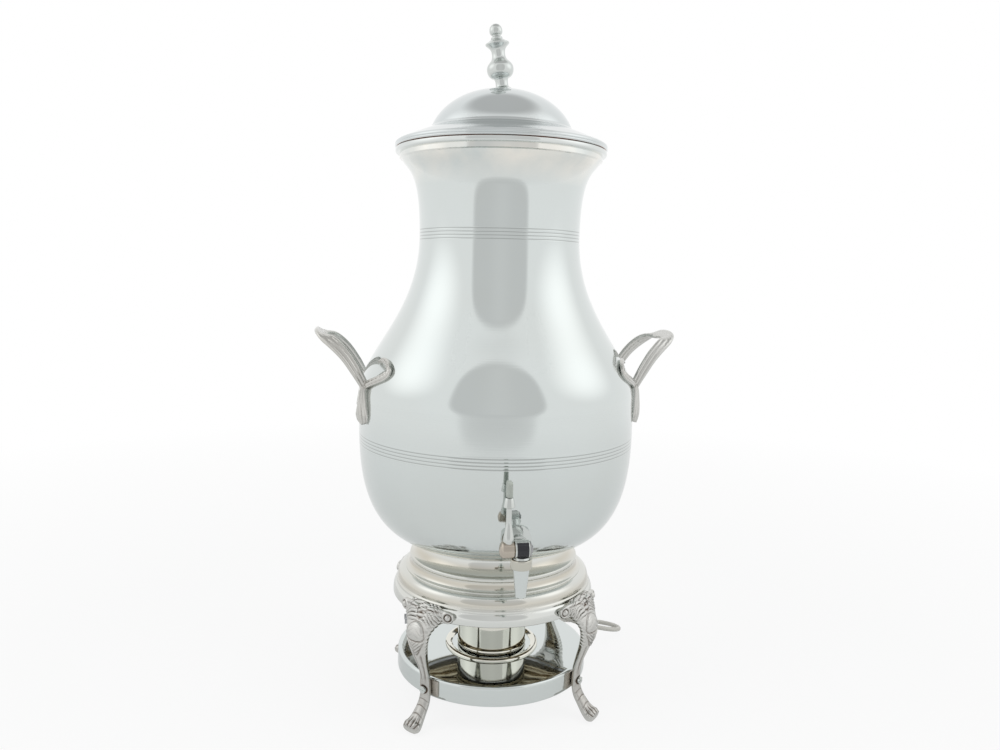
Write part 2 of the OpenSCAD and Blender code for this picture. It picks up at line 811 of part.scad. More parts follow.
module leg(i) {
    color(cast_silver)
        at_leg(i)
            difference() {
                union() {
                    ball_chain([for (s = leg_stations)
                        [[s[0], 0, s[1]], [s[2] / 2, leg_width * s[3] / 2, max(s[2] / 2, 5)]]]);
                    for (side = [-1, 1]) hull() {
                        rotate([0, 0, side * leg_width * scroll_turn])
                            translate([skirt_r + 2.5, 0, skirt_z + scroll_rise])
                                rotate([0, 90, 0]) cylinder(r = scroll_r, h = 6, center = true, $fn = 24);
                        translate([skirt_r + 4, side * leg_width * 14, skirt_z + 1])
                            rotate([0, 90, 0]) cylinder(r = scroll_r + 1.5, h = 6, center = true, $fn = 24);
                    }
                }
                rotate([0, 0, 90 - leg_angles[i]]) skirt_space();
                for (z = [leg_tray_z, leg_top_z])
                    translate([0, 0, z]) rotate([0, 90, 0]) cylinder(r = screw_r + 0.1, h = through_l, $fn = 24);
                translate([0, 0, -skirt_r]) cylinder(r = through_l, h = skirt_r);
                disc(tray_r + clip_w + eps, tray_z, tray_z - tray_drop - 5);
            }
}

// Widened so that its flats lie on the round skirt
module skirt_space() {
    wide = 1.0002 / cos(180 / $fn);
    scale([wide, wide, 1]) {
        revolve(concat([[0, foot_z]], skirt_out, [[0, skirt_z]]));
        disc(skirt_r - 0.6, 3, skirt_z - 2.9);
    }
}

module leg_front_left() { leg(0); }

module leg_front_right() { leg(1); }

module leg_rear_left() { leg(2); }

module leg_rear_right() { leg(3); }

module leg_top_screws() {
    color(steel)
        at_legs()
            translate([stand_ring_r - stand_ring_w - 1, 0, leg_top_z])
                rotate([0, 90, 0]) cylinder(r = screw_r - 0.05, h = 11);
}

module leg_tray_screws() {
    head_x = skirt_r + 3.9;
    color(cast_silver)
        at_legs()
            difference() {
                translate([0, 0, leg_tray_z])
                    union() {
                        translate([tray_r - tray_wall - 3, 0, 0])
                            rotate([0, 90, 0]) cylinder(r = screw_r, h = head_x - tray_r + tray_wall + 3);
                        translate([head_x, 0, 0]) rotate([0, 90, 0]) cylinder(r = 3.4, h = 1.4);
                    }
                translate([head_x + 0.7, -5, leg_tray_z - 0.4]) cube([2, 10, 0.8]);
            }
}

clip_w = 1.4;
clip_half = 11;

module tray_clips() {
    color(cast_silver)
        at_legs()
            difference() {
                intersection() {
                    tube(tray_r + clip_w, tray_r + eps, tray_drop - 4, tray_z - tray_drop + 2);
                    translate([0, -clip_half, 0]) cube([through_l, 2 * clip_half, through_l]);
                }
                translate([tray_r - 5, 0, leg_tray_z]) rotate([0, 90, 0]) cylinder(r = screw_r + 0.1, h = 20);
            }
}

module tray_disc() {
    r = tray_r;
    color(bright)
        difference() {
            revolve([[0, tray_z - tray_wall], [r - 3, tray_z - tray_wall],
                     [r - tray_wall, tray_z - 3], [r - tray_wall, tray_z - tray_drop],
                     [r, tray_z - tray_drop], [r, tray_z - 2], [r - 0.6, tray_z - 0.6], [r - 2, tray_z],
                     [0, tray_z]]);
            at_legs() translate([tray_r - 10, 0, leg_tray_z])
                rotate([0, 90, 0]) cylinder(r = screw_r + 0.1, h = 20);
        }
}

module tray_ring() {
    color(bright)
        translate([0, 0, tray_z])
            rotate_extrude()
                polygon([[locator_r - 7, eps], [locator_r, eps], [locator_r, 1], [locator_r - 0.8, 2.2],
                         [locator_r - 2.5, 2.8], [locator_r - 4, 2.4], [locator_r - 7, 0.8]]);
}

// ---- heater ----

stud_angles = [30, 150, 270];
stud_place_r = can_r + 6;
stud_hole_r = 2.05;
flange_z = foot_z - 1.6;

module heater_can() {
    r_in = can_r - can_wall;
    gland_in = gland_bore_r + 0.05;
    color(bright)
        difference() {
            union() {
                tube(can_r, r_in, flange_z - can_z, can_z);
                tube(can_flange_r, r_in, 1.5, flange_z);
            }
            for (a = stud_angles) rotate([0, 0, a]) translate([stud_place_r, 0, flange_z - 1])
                cylinder(r = stud_hole_r, h = 4);
            translate([0, 0, lead_z]) rotate([-90, 0, 0]) cylinder(r = gland_in, h = 2 * can_r);
        }
}

stud_tail = 6;
stud_hold = 1;

module can_studs() {
    color(steel)
        for (a = stud_angles) rotate([0, 0, a])
            translate([stud_place_r, 0, flange_z - stud_tail])
                cylinder(r = 2, h = floor_z - flange_z + stud_tail + stud_hold);
}

module can_nuts() {
    color(brass)
        for (a = stud_angles) rotate([0, 0, a]) translate([stud_place_r, 0, flange_z - 3.25])
            difference() {
                cylinder(r = 4, h = 3.2, $fn = 6);
                translate([0, 0, -1]) cylinder(r = 2.05, h = 6);
            }
}

cover_z = can_z + 0.6;

module can_cover() {
    color(steel)
        difference() {
            disc(can_r - can_wall - 0.1, 1.5, cover_z);
            disc(2.1, 4, cover_z - 1);
        }
}

module cover_screw() {
    color(steel)
        union() {
            disc(2, 8, cover_z);
            disc(3.6, 1.2, cover_z - 1.2);
        }
}

element_ring_r = well_r + element_r + 0.1;
element_z = well_z + 6;
element_leg_l = 12;

module heating_element() {
    color(steel)
        union() {
            translate([0, 0, element_z])
                rotate_extrude() translate([element_ring_r, 0]) circle(r = element_r, $fn = 32);
            for (x = [-1, 1])
                translate([x * element_ring_r, 0, element_z - element_leg_l]) cylinder(r = 2, h = element_leg_l);
        }
}

module thermostat() {
    color(dark)
        union() {
            disc(10, 7, well_z - 7 - eps);
            translate([-13, -4, well_z - 4]) cube([26, 8, 2]);
        }
}

block_h = 9;

module terminal_block() {
    z = cover_z + 1.5;
    color(ivory)
        difference() {
            translate([-12, -7, z]) cube([24, 14, block_h]);
            disc(2.1, 8, z - 1);
            for (x = [-7, 7]) translate([x, 0, z + 4]) cylinder(r = 1.6, h = block_h);
        }
}

// Two sleeved wires from the terminal block up to the ends of the element
module inner_leads() {
    z0 = cover_z + 1.5 + 5;
    z1 = element_z - element_leg_l + eps;
    color(dark)
        for (side = [-1, 1])
            wire([[side * 7, 0, z0], [side * 7, 0, z0 + 12], [side * 12, 0, z0 + 26],
                  [side * 20, 0, z1 - 18], [side * element_ring_r, 0, z1 - 8],
                  [side * element_ring_r, 0, z1]], 1.2, 8);
}

// ---- lead ----

// A round tube swept along points, each ring square to the run of its neighbours
function run_at(p, i) =
    let (v = p[min(i + 1, len(p) - 1)] - p[max(i - 1, 0)]) v / norm(v);
function side_of(v) =
    let (up = abs(v[2]) > 0.9 ? [0, 1, 0] : [0, 0, 1], s = cross_of(v, up)) s / norm(s);
function cross_of(a, b) =
    [a[1] * b[2] - a[2] * b[1], a[2] * b[0] - a[0] * b[2], a[0] * b[1] - a[1] * b[0]];

module wire(p, r, sides) {
    n = len(p);
    rings = [for (i = [0:n - 1])
        let (v = run_at(p, i), s = side_of(v), u = cross_of(s, v))
        for (k = [0:sides - 1]) p[i] + r * (cos(360 * k / sides) * s + sin(360 * k / sides) * u)];
    walls = [for (i = [0:n - 2]) for (k = [0:sides - 1])
        let (a = i * sides + k, b = i * sides + (k + 1) % sides)
        [a, b, b + sides, a + sides]];
    polyhedron(rings, concat([[for (k = [sides - 1:-1:0]) k]], walls,
                             [[for (k = [0:sides - 1]) (n - 1) * sides + k]]));
}

// Smooth points between hand-set ones, by a Catmull-Rom curve
function smooth(p, n) =
    concat([for (i = [0:len(p) - 2]) for (k = [0:n - 1])
        let (t = k / n, a = p[max(i - 1, 0)], b = p[i], c = p[i + 1], d = p[min(i + 2, len(p) - 1)])
        0.5 * (2 * b + t * (c - a) + t * t * (2 * a - 5 * b + 4 * c - d)
               + t * t * t * (3 * b - 3 * c + d - a))], [p[len(p) - 1]]);

gland_bore_r = 4.6;
gland_l = 30;
lead_r = lead_d / 2;
coil_at = [0, 182];

lead_route = [
    [0, 66, 63], [0, 78, 62], [3, 92, 59], [11, 105, 54], [25, 115, 47], [43, 119, 40],
    [62, 116, 34], [80, 108, 29], [97, 97.5, 25], [112, 87.5, 22.5], [126, 80, 20.3],
    [140, 77.3, 17.8], [152.4, 80.3, 14.2], [162.5, 87.6, 10.4], [167.6, 99, 6.8],
    [166.3, 111.3, 4.2], [158.9, 121.4, 3], [147, 128.6, 2.6], [132, 133, 2.6], [114, 136.5, 2.6],
    [90, 140, 2.6], [66, 143.5, 2.6], [46, 146, 2.6], [30, 148, 2.6], [16, 149, 2.6], [3, 149, 2.6]];

module lead_gland() {
    color(dark)
        translate([0, 0, lead_z]) rotate([-90, 0, 0])
            rotate_extrude()
                polygon([[lead_r, can_r - 6], [gland_bore_r + 2, can_r - 6],
                         [gland_bore_r + 2, can_r - can_wall - 0.4], [gland_bore_r, can_r - can_wall - 0.4],
                         [gland_bore_r, can_r + 0.1], [gland_bore_r + 1.6, can_r + 0.1],
                         [gland_bore_r + 1.6, can_r + 2.5], [gland_bore_r, can_r + 3],
                         [lead_r + 0.8, can_r + gland_l + 1], [lead_r, can_r + gland_l + 1]]);
}

module lead() {
    inside = [[0, 7.1, lead_z - 5], [0, 14, lead_z - 4], [0, 22, lead_z - 1], [0, 29, lead_z], [0, 48, lead_z]];
    color(ivory) wire(smooth(concat(inside, lead_route), 2), lead_r - 0.02, 10);
}

coil_half_w = 1.5 * lead_d;      // three turns side by side
coil_half_h = lead_d;            // two turns high
coil_outer_r = coil_mid_r + coil_half_w;

module lead_coil() {
    c = lead_r;
    w = coil_half_w;
    h = coil_half_h;
    color(ivory)
        translate([coil_at[0], coil_at[1], h])
            rotate_extrude()
                translate([coil_mid_r, 0])
                    polygon([[-w + c, -h], [w - c, -h], [w, -h + c], [w, h - c],
                             [w - c, h], [-w + c, h], [-w, h - c], [-w, -h + c]]);
}

// A band round the section of the coil, standing on the table with it
module lead_tie() {
    w = coil_half_w + 0.3;
    h = 2 * coil_half_h + 0.1;
    half = 3;
    t = 1;
    color(dark)
        translate([coil_at[0], coil_at[1], 0])
            rotate([0, 0, 60])
                translate([coil_mid_r, 0, 0])
                    difference() {
                        translate([-w - t, -half, 0]) cube([2 * (w + t), 2 * half, h + t]);
                        translate([-w, -half - 1, -1]) cube([2 * w, 2 * half + 2, h + 1 - eps]);
                    }
}

plug_at = [coil_at[0] - coil_mid_r - 3, coil_at[1] - coil_mid_r - lead_d];
plug_l = 34;
plug_w = 23;
plug_t = 16.4;
plug_z = plug_t / 2 + 0.1;
relief_l = 20;

module lead_plug() {
    color(ivory)
        translate([plug_at[0], plug_at[1], plug_z])
            rotate([0, -90, 0]) rotate([0, 0, 90])
                union() {
                    translate([0, 0, -relief_l])
                        rotate_extrude()
                            polygon([[0, 0], [lead_r + 0.6, 0], [lead_r + 2.4, relief_l + eps],
                                     [0, relief_l + eps]]);
                    linear_extrude(plug_l)
                        polygon([[-plug_w / 2 + 4, -plug_t / 2], [plug_w / 2 - 4, -plug_t / 2],
                                 [plug_w / 2, -plug_t / 2 + 4], [plug_w / 2, plug_t / 2 - 4],
                                 [plug_w / 2 - 4, plug_t / 2], [-plug_w / 2 + 4, plug_t / 2],
                                 [-plug_w / 2, plug_t / 2 - 4], [-plug_w / 2, -plug_t / 2 + 4]]);
                }
}

module plug_pins() {
    color(brass)
        translate([plug_at[0] - plug_l, plug_at[1], plug_z])
            for (side = [-1, 1])
                translate([-17, side * 6.35 - 0.75, -3.2]) cube([17, 1.5, 6.4]);
}

body_shell();
mouth_rim();
handle_left();
handle_right();
heater_well();
well_nut();
lid_shell();
lid_bead();
lid_collar();
finial();
finial_stud();
finial_nut();
pump_tube();
pump_foot();
pump_valve();
basket_rest();
basket();
basket_lid();
tap_rosette();
tap_barrel();
inner_washer();
tap_lock_nut();
tap_plug();
key_hub();
key_stem();
key_collar();
key_grip();
plug_washer();
plug_screw();
spout_ring();
nozzle();
pedestal();
stand_ring();
leg_front_left();
leg_front_right();
leg_rear_left();
leg_rear_right();
leg_top_screws();
leg_tray_screws();
tray_clips();
tray_disc();
tray_ring();
heater_can();
can_studs();
can_nuts();
can_cover();
cover_screw();
heating_element();
thermostat();
terminal_block();
inner_leads();
lead_gland();
lead();
lead_coil();
lead_tie();
lead_plug();
plug_pins();
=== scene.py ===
import math
import bmesh
import bpy
import numpy as np
from mathutils import Matrix, Vector


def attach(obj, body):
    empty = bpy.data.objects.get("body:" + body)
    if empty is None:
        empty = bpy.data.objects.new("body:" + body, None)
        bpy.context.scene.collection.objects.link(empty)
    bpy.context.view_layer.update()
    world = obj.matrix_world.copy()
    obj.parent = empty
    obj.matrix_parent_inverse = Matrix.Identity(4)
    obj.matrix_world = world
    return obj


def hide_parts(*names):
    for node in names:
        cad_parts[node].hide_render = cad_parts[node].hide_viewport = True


# Silver-plated coffee urn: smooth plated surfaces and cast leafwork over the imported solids.
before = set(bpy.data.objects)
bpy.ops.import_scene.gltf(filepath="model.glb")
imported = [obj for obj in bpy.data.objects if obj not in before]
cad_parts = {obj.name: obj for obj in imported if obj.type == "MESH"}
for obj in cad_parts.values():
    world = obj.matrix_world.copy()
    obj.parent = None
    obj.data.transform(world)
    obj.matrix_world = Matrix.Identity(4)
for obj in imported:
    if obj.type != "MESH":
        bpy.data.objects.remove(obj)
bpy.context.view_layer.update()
scene = bpy.context.scene
scene.view_settings.view_transform = "Standard"
mm = 0.001
print("frame loaded,", len(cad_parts), "nodes")

viewpoint = {"place": (-0.1251, -0.7902, 0.424), "down": 7.295, "right": 0.23, "roll": -1.2, "lens": 29.477,
             "film": 36, "near": 0.01}


def linked(name, data):
    # a new object in the scene
    thing = bpy.data.objects.new(name, data)
    scene.collection.objects.link(thing)
    return thing


def makeCamera(v):
    # looks at the urn's axis, turned a little to the right, tipped down and rolled
    place = Vector(v["place"])
    turn, down, roll = (math.radians(v[k]) for k in ("right", "down", "roll"))
    level = Vector((-place.x, -place.y, 0)).normalized()
    level.rotate(Matrix.Rotation(-turn, 3, "Z"))
    ahead = level * math.cos(down) - Vector((0, 0, math.sin(down)))
    side = Vector((level.y, -level.x, 0))
    up = side.cross(ahead)
    rolledSide = side * math.cos(roll) - up * math.sin(roll)
    rolledUp = side * math.sin(roll) + up * math.cos(roll)
    data = bpy.data.cameras.new("camera")
    data.lens = v["lens"]
    data.sensor_width = v["film"]
    data.clip_start = v["near"]
    scene.camera = linked("camera", data)
    axes = Matrix((rolledSide, rolledUp, -ahead)).transposed().to_4x4()
    scene.camera.matrix_world = Matrix.Translation(place) @ axes


makeCamera(viewpoint)


# meshes: lines, profiles and shells in millimetres

def pulledCurve(a, b, c, d, n):
    # cubic curve from a to d, pulled by b and c, without its first point
    t = (np.arange(1, n + 1) / n)[:, None]
    a, b, c, d = (np.array(p, float) for p in (a, b, c, d))
    s = 1 - t
    return s**3 * a + 3 * s**2 * t * b + 3 * s * t**2 * c + t**3 * d


def stack(*rows):
    # points and lines one after another as one array
    return np.vstack([np.atleast_2d(np.array(r, float)) for r in rows])


def profile(*parts):
    # line of radii and heights: a pair is a corner, and (pull, pull, end, count) is a curve to its end
    rows = []
    for part in parts:
        rows.append(np.array([part], float) if len(part) == 2 else pulledCurve(rows[-1][-1], *part))
    return np.vstack(rows)


def through(points, n):
    # smooth line through given points: at each share t between two of them, the cubic that also looks at
    # the next ones out
    p = np.array(points, float)
    q = np.vstack([2 * p[0] - p[1], p, 2 * p[-1] - p[-2]])
    at = np.linspace(0, len(p) - 1, n)
    i = np.minimum(at.astype(int), len(p) - 2)
    t = (at - i)[:, None]
    a, b, c, d = q[i], q[i + 1], q[i + 2], q[i + 3]
    return 0.5 * (2 * b + t * (c - a) + t**2 * (2 * a - 5 * b + 4 * c - d) + t**3 * (3 * b - 3 * c + d - a))


def bump(x, centre, width):
    # bell: e to the minus square of the distance over the width
    return np.exp(-((x - centre) / width) ** 2)


def step(x, edge, soft):
    # rises from 0 to 1 at the edge over the softness: 1 over 1 plus e to the minus distance
    return 1 / (1 + np.exp(-(x - edge) / soft))


def ridges(x):
    # one ridge per unit: the absolute sine of pi times x
    return np.abs(np.sin(math.pi * x))


def cuts(ridge, sharp):
    # 1 where a ridge comes down to nothing, falling to 0 the sooner the sharper
    return np.clip(1 - ridge * sharp, 0, 1)


def unit(vectors):
    return vectors / np.linalg.norm(vectors, axis=1)[:, None]


def movedIn(outline, wall):
    # the outline moved to its inner side by a wall
    run = unit(np.gradient(outline, axis=0))
    return outline + wall * np.stack([run[:, 1], -run[:, 0]], 1)


def gridFaces(rows, cols, wrapRows=False, wrapCols=True):
    # four-cornered faces of a grid of rows x cols points, closed round where asked
    i = np.arange(rows if wrapRows else rows - 1)[:, None]
    j = np.arange(cols if wrapCols else cols - 1)[None, :]
    i2, j2 = (i + 1) % rows, (j + 1) % cols
    return np.stack([i * cols + j, i * cols + j2, i2 * cols + j2, i2 * cols + j], -1).reshape(-1, 4)


def spun(outline, around=128, place=None, soil=None):
    # a profile of (radius, height) turned about +Z: radius times cosine and sine of the angle, closed where
    # it leaves the axis; soil is a dirt share for each point of the profile
    outline = np.array(outline, float)
    angle = np.arange(around) * 2 * math.pi / around
    r, z = outline[:, 0][:, None], outline[:, 1][:, None]
    points = np.stack([r * np.cos(angle), r * np.sin(angle), z + 0 * angle], -1)
    onAxis = outline[:, 0].min() < 1e-6
    if place is not None:
        points = points @ np.array(place.to_3x3()).T + np.array(place.translation)
    soil = np.zeros(len(outline)) if soil is None else soil
    return points, gridFaces(len(outline), around, wrapRows=not onAxis), np.repeat(soil[:, None], around, 1)


def swept(path, wide, thick, facing, sides=40, square=1.0, relief=None, bothFaces=False):
    # an oval section carried along a path: across by the sine, out by the cosine, squarer for smaller
    # powers; facing is the rough way its face looks; relief gives millimetres to add outwards and a dirt
    # share, from the share along the path and the share across it
    run = unit(np.gradient(path, axis=0))
    across = unit(np.cross(run, facing))
    out = np.cross(across, run)
    angle = np.arange(sides) * 2 * math.pi / sides
    c, s = np.cos(angle), np.sin(angle)
    u = np.sign(s) * np.abs(s) ** square
    v = np.sign(c) * np.abs(c) ** square
    wide, thick = (np.broadcast_to(np.array(k, float), len(path))[:, None] for k in (wide, thick))
    height = thick * v[None, :]
    dark = np.zeros((len(path), sides))
    if relief is not None:
        add, dark = relief(np.linspace(0, 1, len(path))[:, None], u[None, :])
        front = (np.abs(c) if bothFaces else np.clip(c, 0, 1))[None, :] ** 0.35
        height = height + add * front * np.sign(c)[None, :]
        dark = dark * front
    points = (path[:, None, :] + across[:, None, :] * (wide * u[None, :])[..., None]
              + out[:, None, :] * height[..., None])
    return points, gridFaces(len(path), sides), dark


def capped(shell):
    # closes both ends of a swept shell with a point at the middle of each end ring
    points, faces, dark = shell
    rows, n = points.shape[0] + 2, points.shape[1]
    ends = [np.repeat(ring.mean(0)[None, None], n, 1) for ring in (points[0], points[-1])]
    return np.vstack([ends[0], points, ends[1]]), gridFaces(rows, n), np.vstack([dark[:1], dark, dark[-1:]])


def makePiece(name, shells, finish, body, replaces=(), crease=38):
    # shells are (points, faces, dirt share) in millimetres; they become one mesh piece that rides on a body
    grids, faceSets, darks = zip(*shells)
    starts = np.cumsum([0] + [dark.size for dark in darks])
    points = np.vstack([grid.reshape(-1, 3) for grid in grids]) * mm
    quads = np.vstack([faces + start for faces, start in zip(faceSets, starts)])
    soil = np.concatenate([dark.ravel() for dark in darks])
    mesh = bpy.data.meshes.new(name)
    mesh.from_pydata(points.tolist(), [], quads.tolist())
    mesh.attributes.new("hollow", "FLOAT", "POINT").data.foreach_set("value", soil.astype(np.float32))
    work = bmesh.new()
    work.from_mesh(mesh)
    bmesh.ops.remove_doubles(work, verts=work.verts, dist=2e-6)
    bmesh.ops.dissolve_degenerate(work, dist=1e-7, edges=work.edges)
    bmesh.ops.recalc_face_normals(work, faces=work.faces)
    work.to_mesh(mesh)
    work.free()
    mesh.shade_smooth()
    mesh.set_sharp_from_angle(angle=math.radians(crease))
    mesh.materials.append(finishes[finish])
    piece = linked(name, mesh)
    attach(piece, body)
    if replaces:
        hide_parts(*replaces)
    return piece


# materials

def feed(tree, node, key, value):
    # gives an input a number or colour, or links it to another node's output
    if isinstance(value, bpy.types.NodeSocket):
        tree.links.new(value, node.inputs[key])
    else:
        node.inputs[key].default_value = value


def addNode(tree, kind, inputs=(), **settings):
    # a new shader node with its own settings and its inputs fed
    node = tree.nodes.new("ShaderNode" + kind)
    for key, value in settings.items():
        setattr(node, key, value)
    for key, value in dict(inputs).items():
        feed(tree, node, key, value)
    return node


def nodeMaterial(name):
    mat = bpy.data.materials.new(name)
    mat.use_nodes = True
    return mat, mat.node_tree, mat.node_tree.nodes["Principled BSDF"]


def addNoise(tree, scale, detail, stretch=None):
    # noise on object coordinates, stretched if asked
    where = addNode(tree, "TexCoord").outputs["Object"]
    if stretch:
        where = addNode(tree, "Mapping", {"Vector": where, "Scale": stretch}).outputs["Vector"]
    return addNode(tree, "TexNoise", {"Vector": where, "Scale": scale, "Detail": detail}).outputs["Fac"]


def addRange(tree, value, low, high, toLow=0, toHigh=1):
    span = {"Value": value, "From Min": low, "From Max": high, "To Min": toLow, "To Max": toHigh}
    return addNode(tree, "MapRange", span).outputs["Result"]


def addMath(tree, operation, *values):
    return addNode(tree, "Math", enumerate(values), operation=operation).outputs[0]


def addBump(tree, shader, height, strength, distance):
    bumps = addNode(tree, "Bump", {"Height": height, "Strength": strength, "Distance": distance})
    feed(tree, shader, "Normal", bumps.outputs["Normal"])


def readShare(tree, name):
    return addNode(tree, "Attribute", attribute_name=name).outputs["Fac"]


def mixColours(tree, factor, a, b):
    # from a to b by the factor; each is three shares or another node's output
    a, b = ((*k, 1) if isinstance(k, tuple) else k for k in (a, b))
    return addNode(tree, "Mix", {"Factor": factor, 6: a, 7: b}, data_type="RGBA").outputs[2]


def mixShaders(tree, factor, a, b):
    return addNode(tree, "MixShader", {0: factor, 1: a, 2: b}).outputs[0]


# noises by scale and detail, ranges by low and high
metalLook = {"clouds": (9, 5), "cloudy": (0.45, 0.75), "tarnish": 0.45, "smudges": (24, 4),
             "grain": (260, 6), "grainDirt": 0.35, "dirty": (0.25, 1.05), "dirt": (0.085, 0.055, 0.035),
             "dirtRough": 0.5, "grainBump": (0.25, 0.0004), "wear": (34, 6), "worn": (0.35, 0.75),
             "polish": (0.75, 1.7), "turning": (40, 3, (0.5, 0.5, 26)), "turningDeep": 0.0002}


def metalFinish(name, colour, rough, cloud=0.06, warm=(0.55, 0.50, 0.42), spin=0.0, cast=False, lined=None,
                band=None):
    # plated or bare metal: cloudy colour, uneven polish, fine turning lines or cast grain; lined is the
    # colour of dirty hollows, band tints a belt of heights in metres where the smudges are strong
    m = metalLook
    mat, tree, shader = nodeMaterial(name)
    shader.inputs["Metallic"].default_value = 1
    warmth = addRange(tree, addNoise(tree, *m["clouds"]), *m["cloudy"], 0, cloud * 4)
    tarnished = tuple((1 - m["tarnish"]) * c + m["tarnish"] * w for c, w in zip(colour, warm))
    base = mixColours(tree, warmth, colour, tarnished)
    if band:
        where = addNode(tree, "TexCoord").outputs["Object"]
        height = addNode(tree, "SeparateXYZ", {"Vector": where}).outputs["Z"]
        belt = addRange(tree, height, *band["heights"])
        smudge = addRange(tree, addNoise(tree, *m["smudges"]), *band["smudges"])
        base = mixColours(tree, addMath(tree, "MULTIPLY", belt, smudge), base, band["colour"])
    if lined:
        base = mixColours(tree, readShare(tree, "hollow"), base, lined)
    if cast:
        grain = addNoise(tree, *m["grain"])
        soil = addMath(tree, "MULTIPLY_ADD", grain, m["grainDirt"], readShare(tree, "hollow"))
        amount = addRange(tree, soil, *m["dirty"])
        base = mixColours(tree, amount, base, m["dirt"])
        addBump(tree, shader, grain, *m["grainBump"])
        polish = addRange(tree, amount, 0, 1, rough, m["dirtRough"])
    else:
        polish = addRange(tree, addNoise(tree, *m["wear"]), *m["worn"], *(rough * k for k in m["polish"]))
    if spin:
        addBump(tree, shader, addNoise(tree, *m["turning"]), spin, m["turningDeep"])
    feed(tree, shader, "Base Color", base)
    feed(tree, shader, "Roughness", polish)
    return mat


def plainFinish(name, colour, rough, scale=180, bumpy=0.15, shade=0.8):
    # rubber, plastic and sleeve: slightly mottled colour with a fine surface grain
    mat, tree, shader = nodeMaterial(name)
    grain = addNoise(tree, scale, 5)
    mottled = mixColours(tree, addRange(tree, grain, 0.35, 0.7), tuple(c * shade for c in colour), colour)
    feed(tree, shader, "Base Color", mottled)
    feed(tree, shader, "Roughness", addRange(tree, grain, 0.3, 0.7, rough * 0.85, min(1, rough * 1.2)))
    addBump(tree, shader, grain, bumpy, 0.0003)
    return mat


neckWear = {"heights": (0.500, 0.522), "smudges": (0.30, 0.62), "colour": (0.88, 0.85, 0.785)}
copperLine = {"heights": (0.53525, 0.5356), "smudges": (0.25, 0.55), "colour": (0.42, 0.19, 0.13)}
finishes = {
    "plate": metalFinish("plated_silver", (0.665, 0.705, 0.695), 0.07, cloud=0.05, spin=0.05,
                         lined=(0.40, 0.42, 0.41), band=neckWear),
    "bright": metalFinish("bright_plate", (0.65, 0.69, 0.68), 0.035, cloud=0.03),
    "rim": metalFinish("worn_rim_plate", (0.69, 0.72, 0.705), 0.05, cloud=0.03, band=copperLine),
    "lidPlate": metalFinish("lid_plate", (0.65, 0.69, 0.695), 0.06, cloud=0.08, spin=0.04),
    "cast": metalFinish("cast_silver_leafwork", (0.60, 0.60, 0.575), 0.16, cloud=0.12, cast=True),
    "warmPlate": metalFinish("warm_worn_plate", (0.69, 0.705, 0.68), 0.065, cloud=0.09, spin=0.03,
                             warm=(0.62, 0.54, 0.38), lined=(0.50, 0.43, 0.31)),
    # painted reflection: the cream colour and warm clouds of the locating ring and heater drum stand in for
    # the gold-brown reflection band round the can's base
    "warmReflectionPlate": metalFinish("cream_painted_reflection_plate", (0.76, 0.75, 0.68), 0.045, cloud=0.05,
                              warm=(0.62, 0.55, 0.40)),
    "castBright": metalFinish("polished_casting", (0.62, 0.65, 0.635), 0.08, cloud=0.08),
    # painted reflection: the key hub's brown colour and heavy warm clouds stand in for the warm brown
    # reflections on its round face
    "hub": metalFinish("brown_reflection_silver", (0.55, 0.52, 0.47), 0.12, cloud=0.3, warm=(0.34, 0.25, 0.16)),
    "band": metalFinish("beige_worn_plate", (0.56, 0.56, 0.50), 0.16, cloud=0.2),
    "clip": metalFinish("brown_grey_clip", (0.46, 0.43, 0.39), 0.25, cloud=0.2),
    "steel": metalFinish("bare_steel", (0.42, 0.43, 0.44), 0.28, cloud=0.08),
    "brass": metalFinish("turned_brass", (0.62, 0.45, 0.17), 0.22, cloud=0.1, warm=(0.35, 0.22, 0.08)),
    "alu": metalFinish("spun_aluminium", (0.58, 0.59, 0.60), 0.3, cloud=0.05, spin=0.2),
    "rubber": plainFinish("black_rubber", (0.035, 0.034, 0.033), 0.6),
    "seat": plainFinish("black_seat_plastic", (0.018, 0.020, 0.026), 0.12, 90, 0.02, 0.8),
    "sleeve": plainFinish("glass_fibre_sleeve", (0.62, 0.58, 0.48), 0.8, 420, 0.5, 0.6),
    "grip": plainFinish("grey_green_grip", (0.52, 0.56, 0.51), 0.35, 90, 0.08, 0.88),
    "lead": plainFinish("ivory_lead", (0.72, 0.71, 0.66), 0.45, 150, 0.05, 0.93),
}
print("finishes made:", len(finishes))

# mains lead: under the pedestal, out past the right back leg and round to a tied coil behind the stand

leadRoute = [
    (0, 66, 63), (0, 78, 62), (3, 92, 59), (11, 105, 54), (25, 115, 47), (43, 119, 40),
    (62, 116, 34), (80, 108, 29), (97, 97.5, 25), (112, 87.5, 22.5), (126, 80, 20.3),
    (140, 77.3, 17.8), (152.4, 80.3, 14.2), (162.5, 87.6, 10.4), (167.6, 99, 6.8),
    (166.3, 111.3, 4.2), (158.9, 121.4, 3), (147, 128.6, 2.6), (132, 133, 2.6), (114, 136.5, 2.6),
    (90, 140, 2.6), (66, 143.5, 2.6), (46, 146, 2.6), (30, 148, 2.6), (16, 149, 2.6)]
tailRoute = [(0, 7.1, 58), (0, 14, 59), (0, 22, 62), (0, 29, 63), (0, 48, 63), (0, 65.9, 63)]
leadFacts = {"diameter": 5.0, "tail": 4.9, "coilAt": (0, 181.8), "radii": (33.1, 28.0, 22.9),
             "low": 2.6, "high": 7.7, "plugAt": (-31, 149, 8.3), "plugLong": 34, "plugHalf": (11.5, 8.2),
             "reliefLong": 20}
gland = {"exit": (0, 66, 63), "start": 29, "sleeve": 38, "wayR": 2.5, "rings": 8}


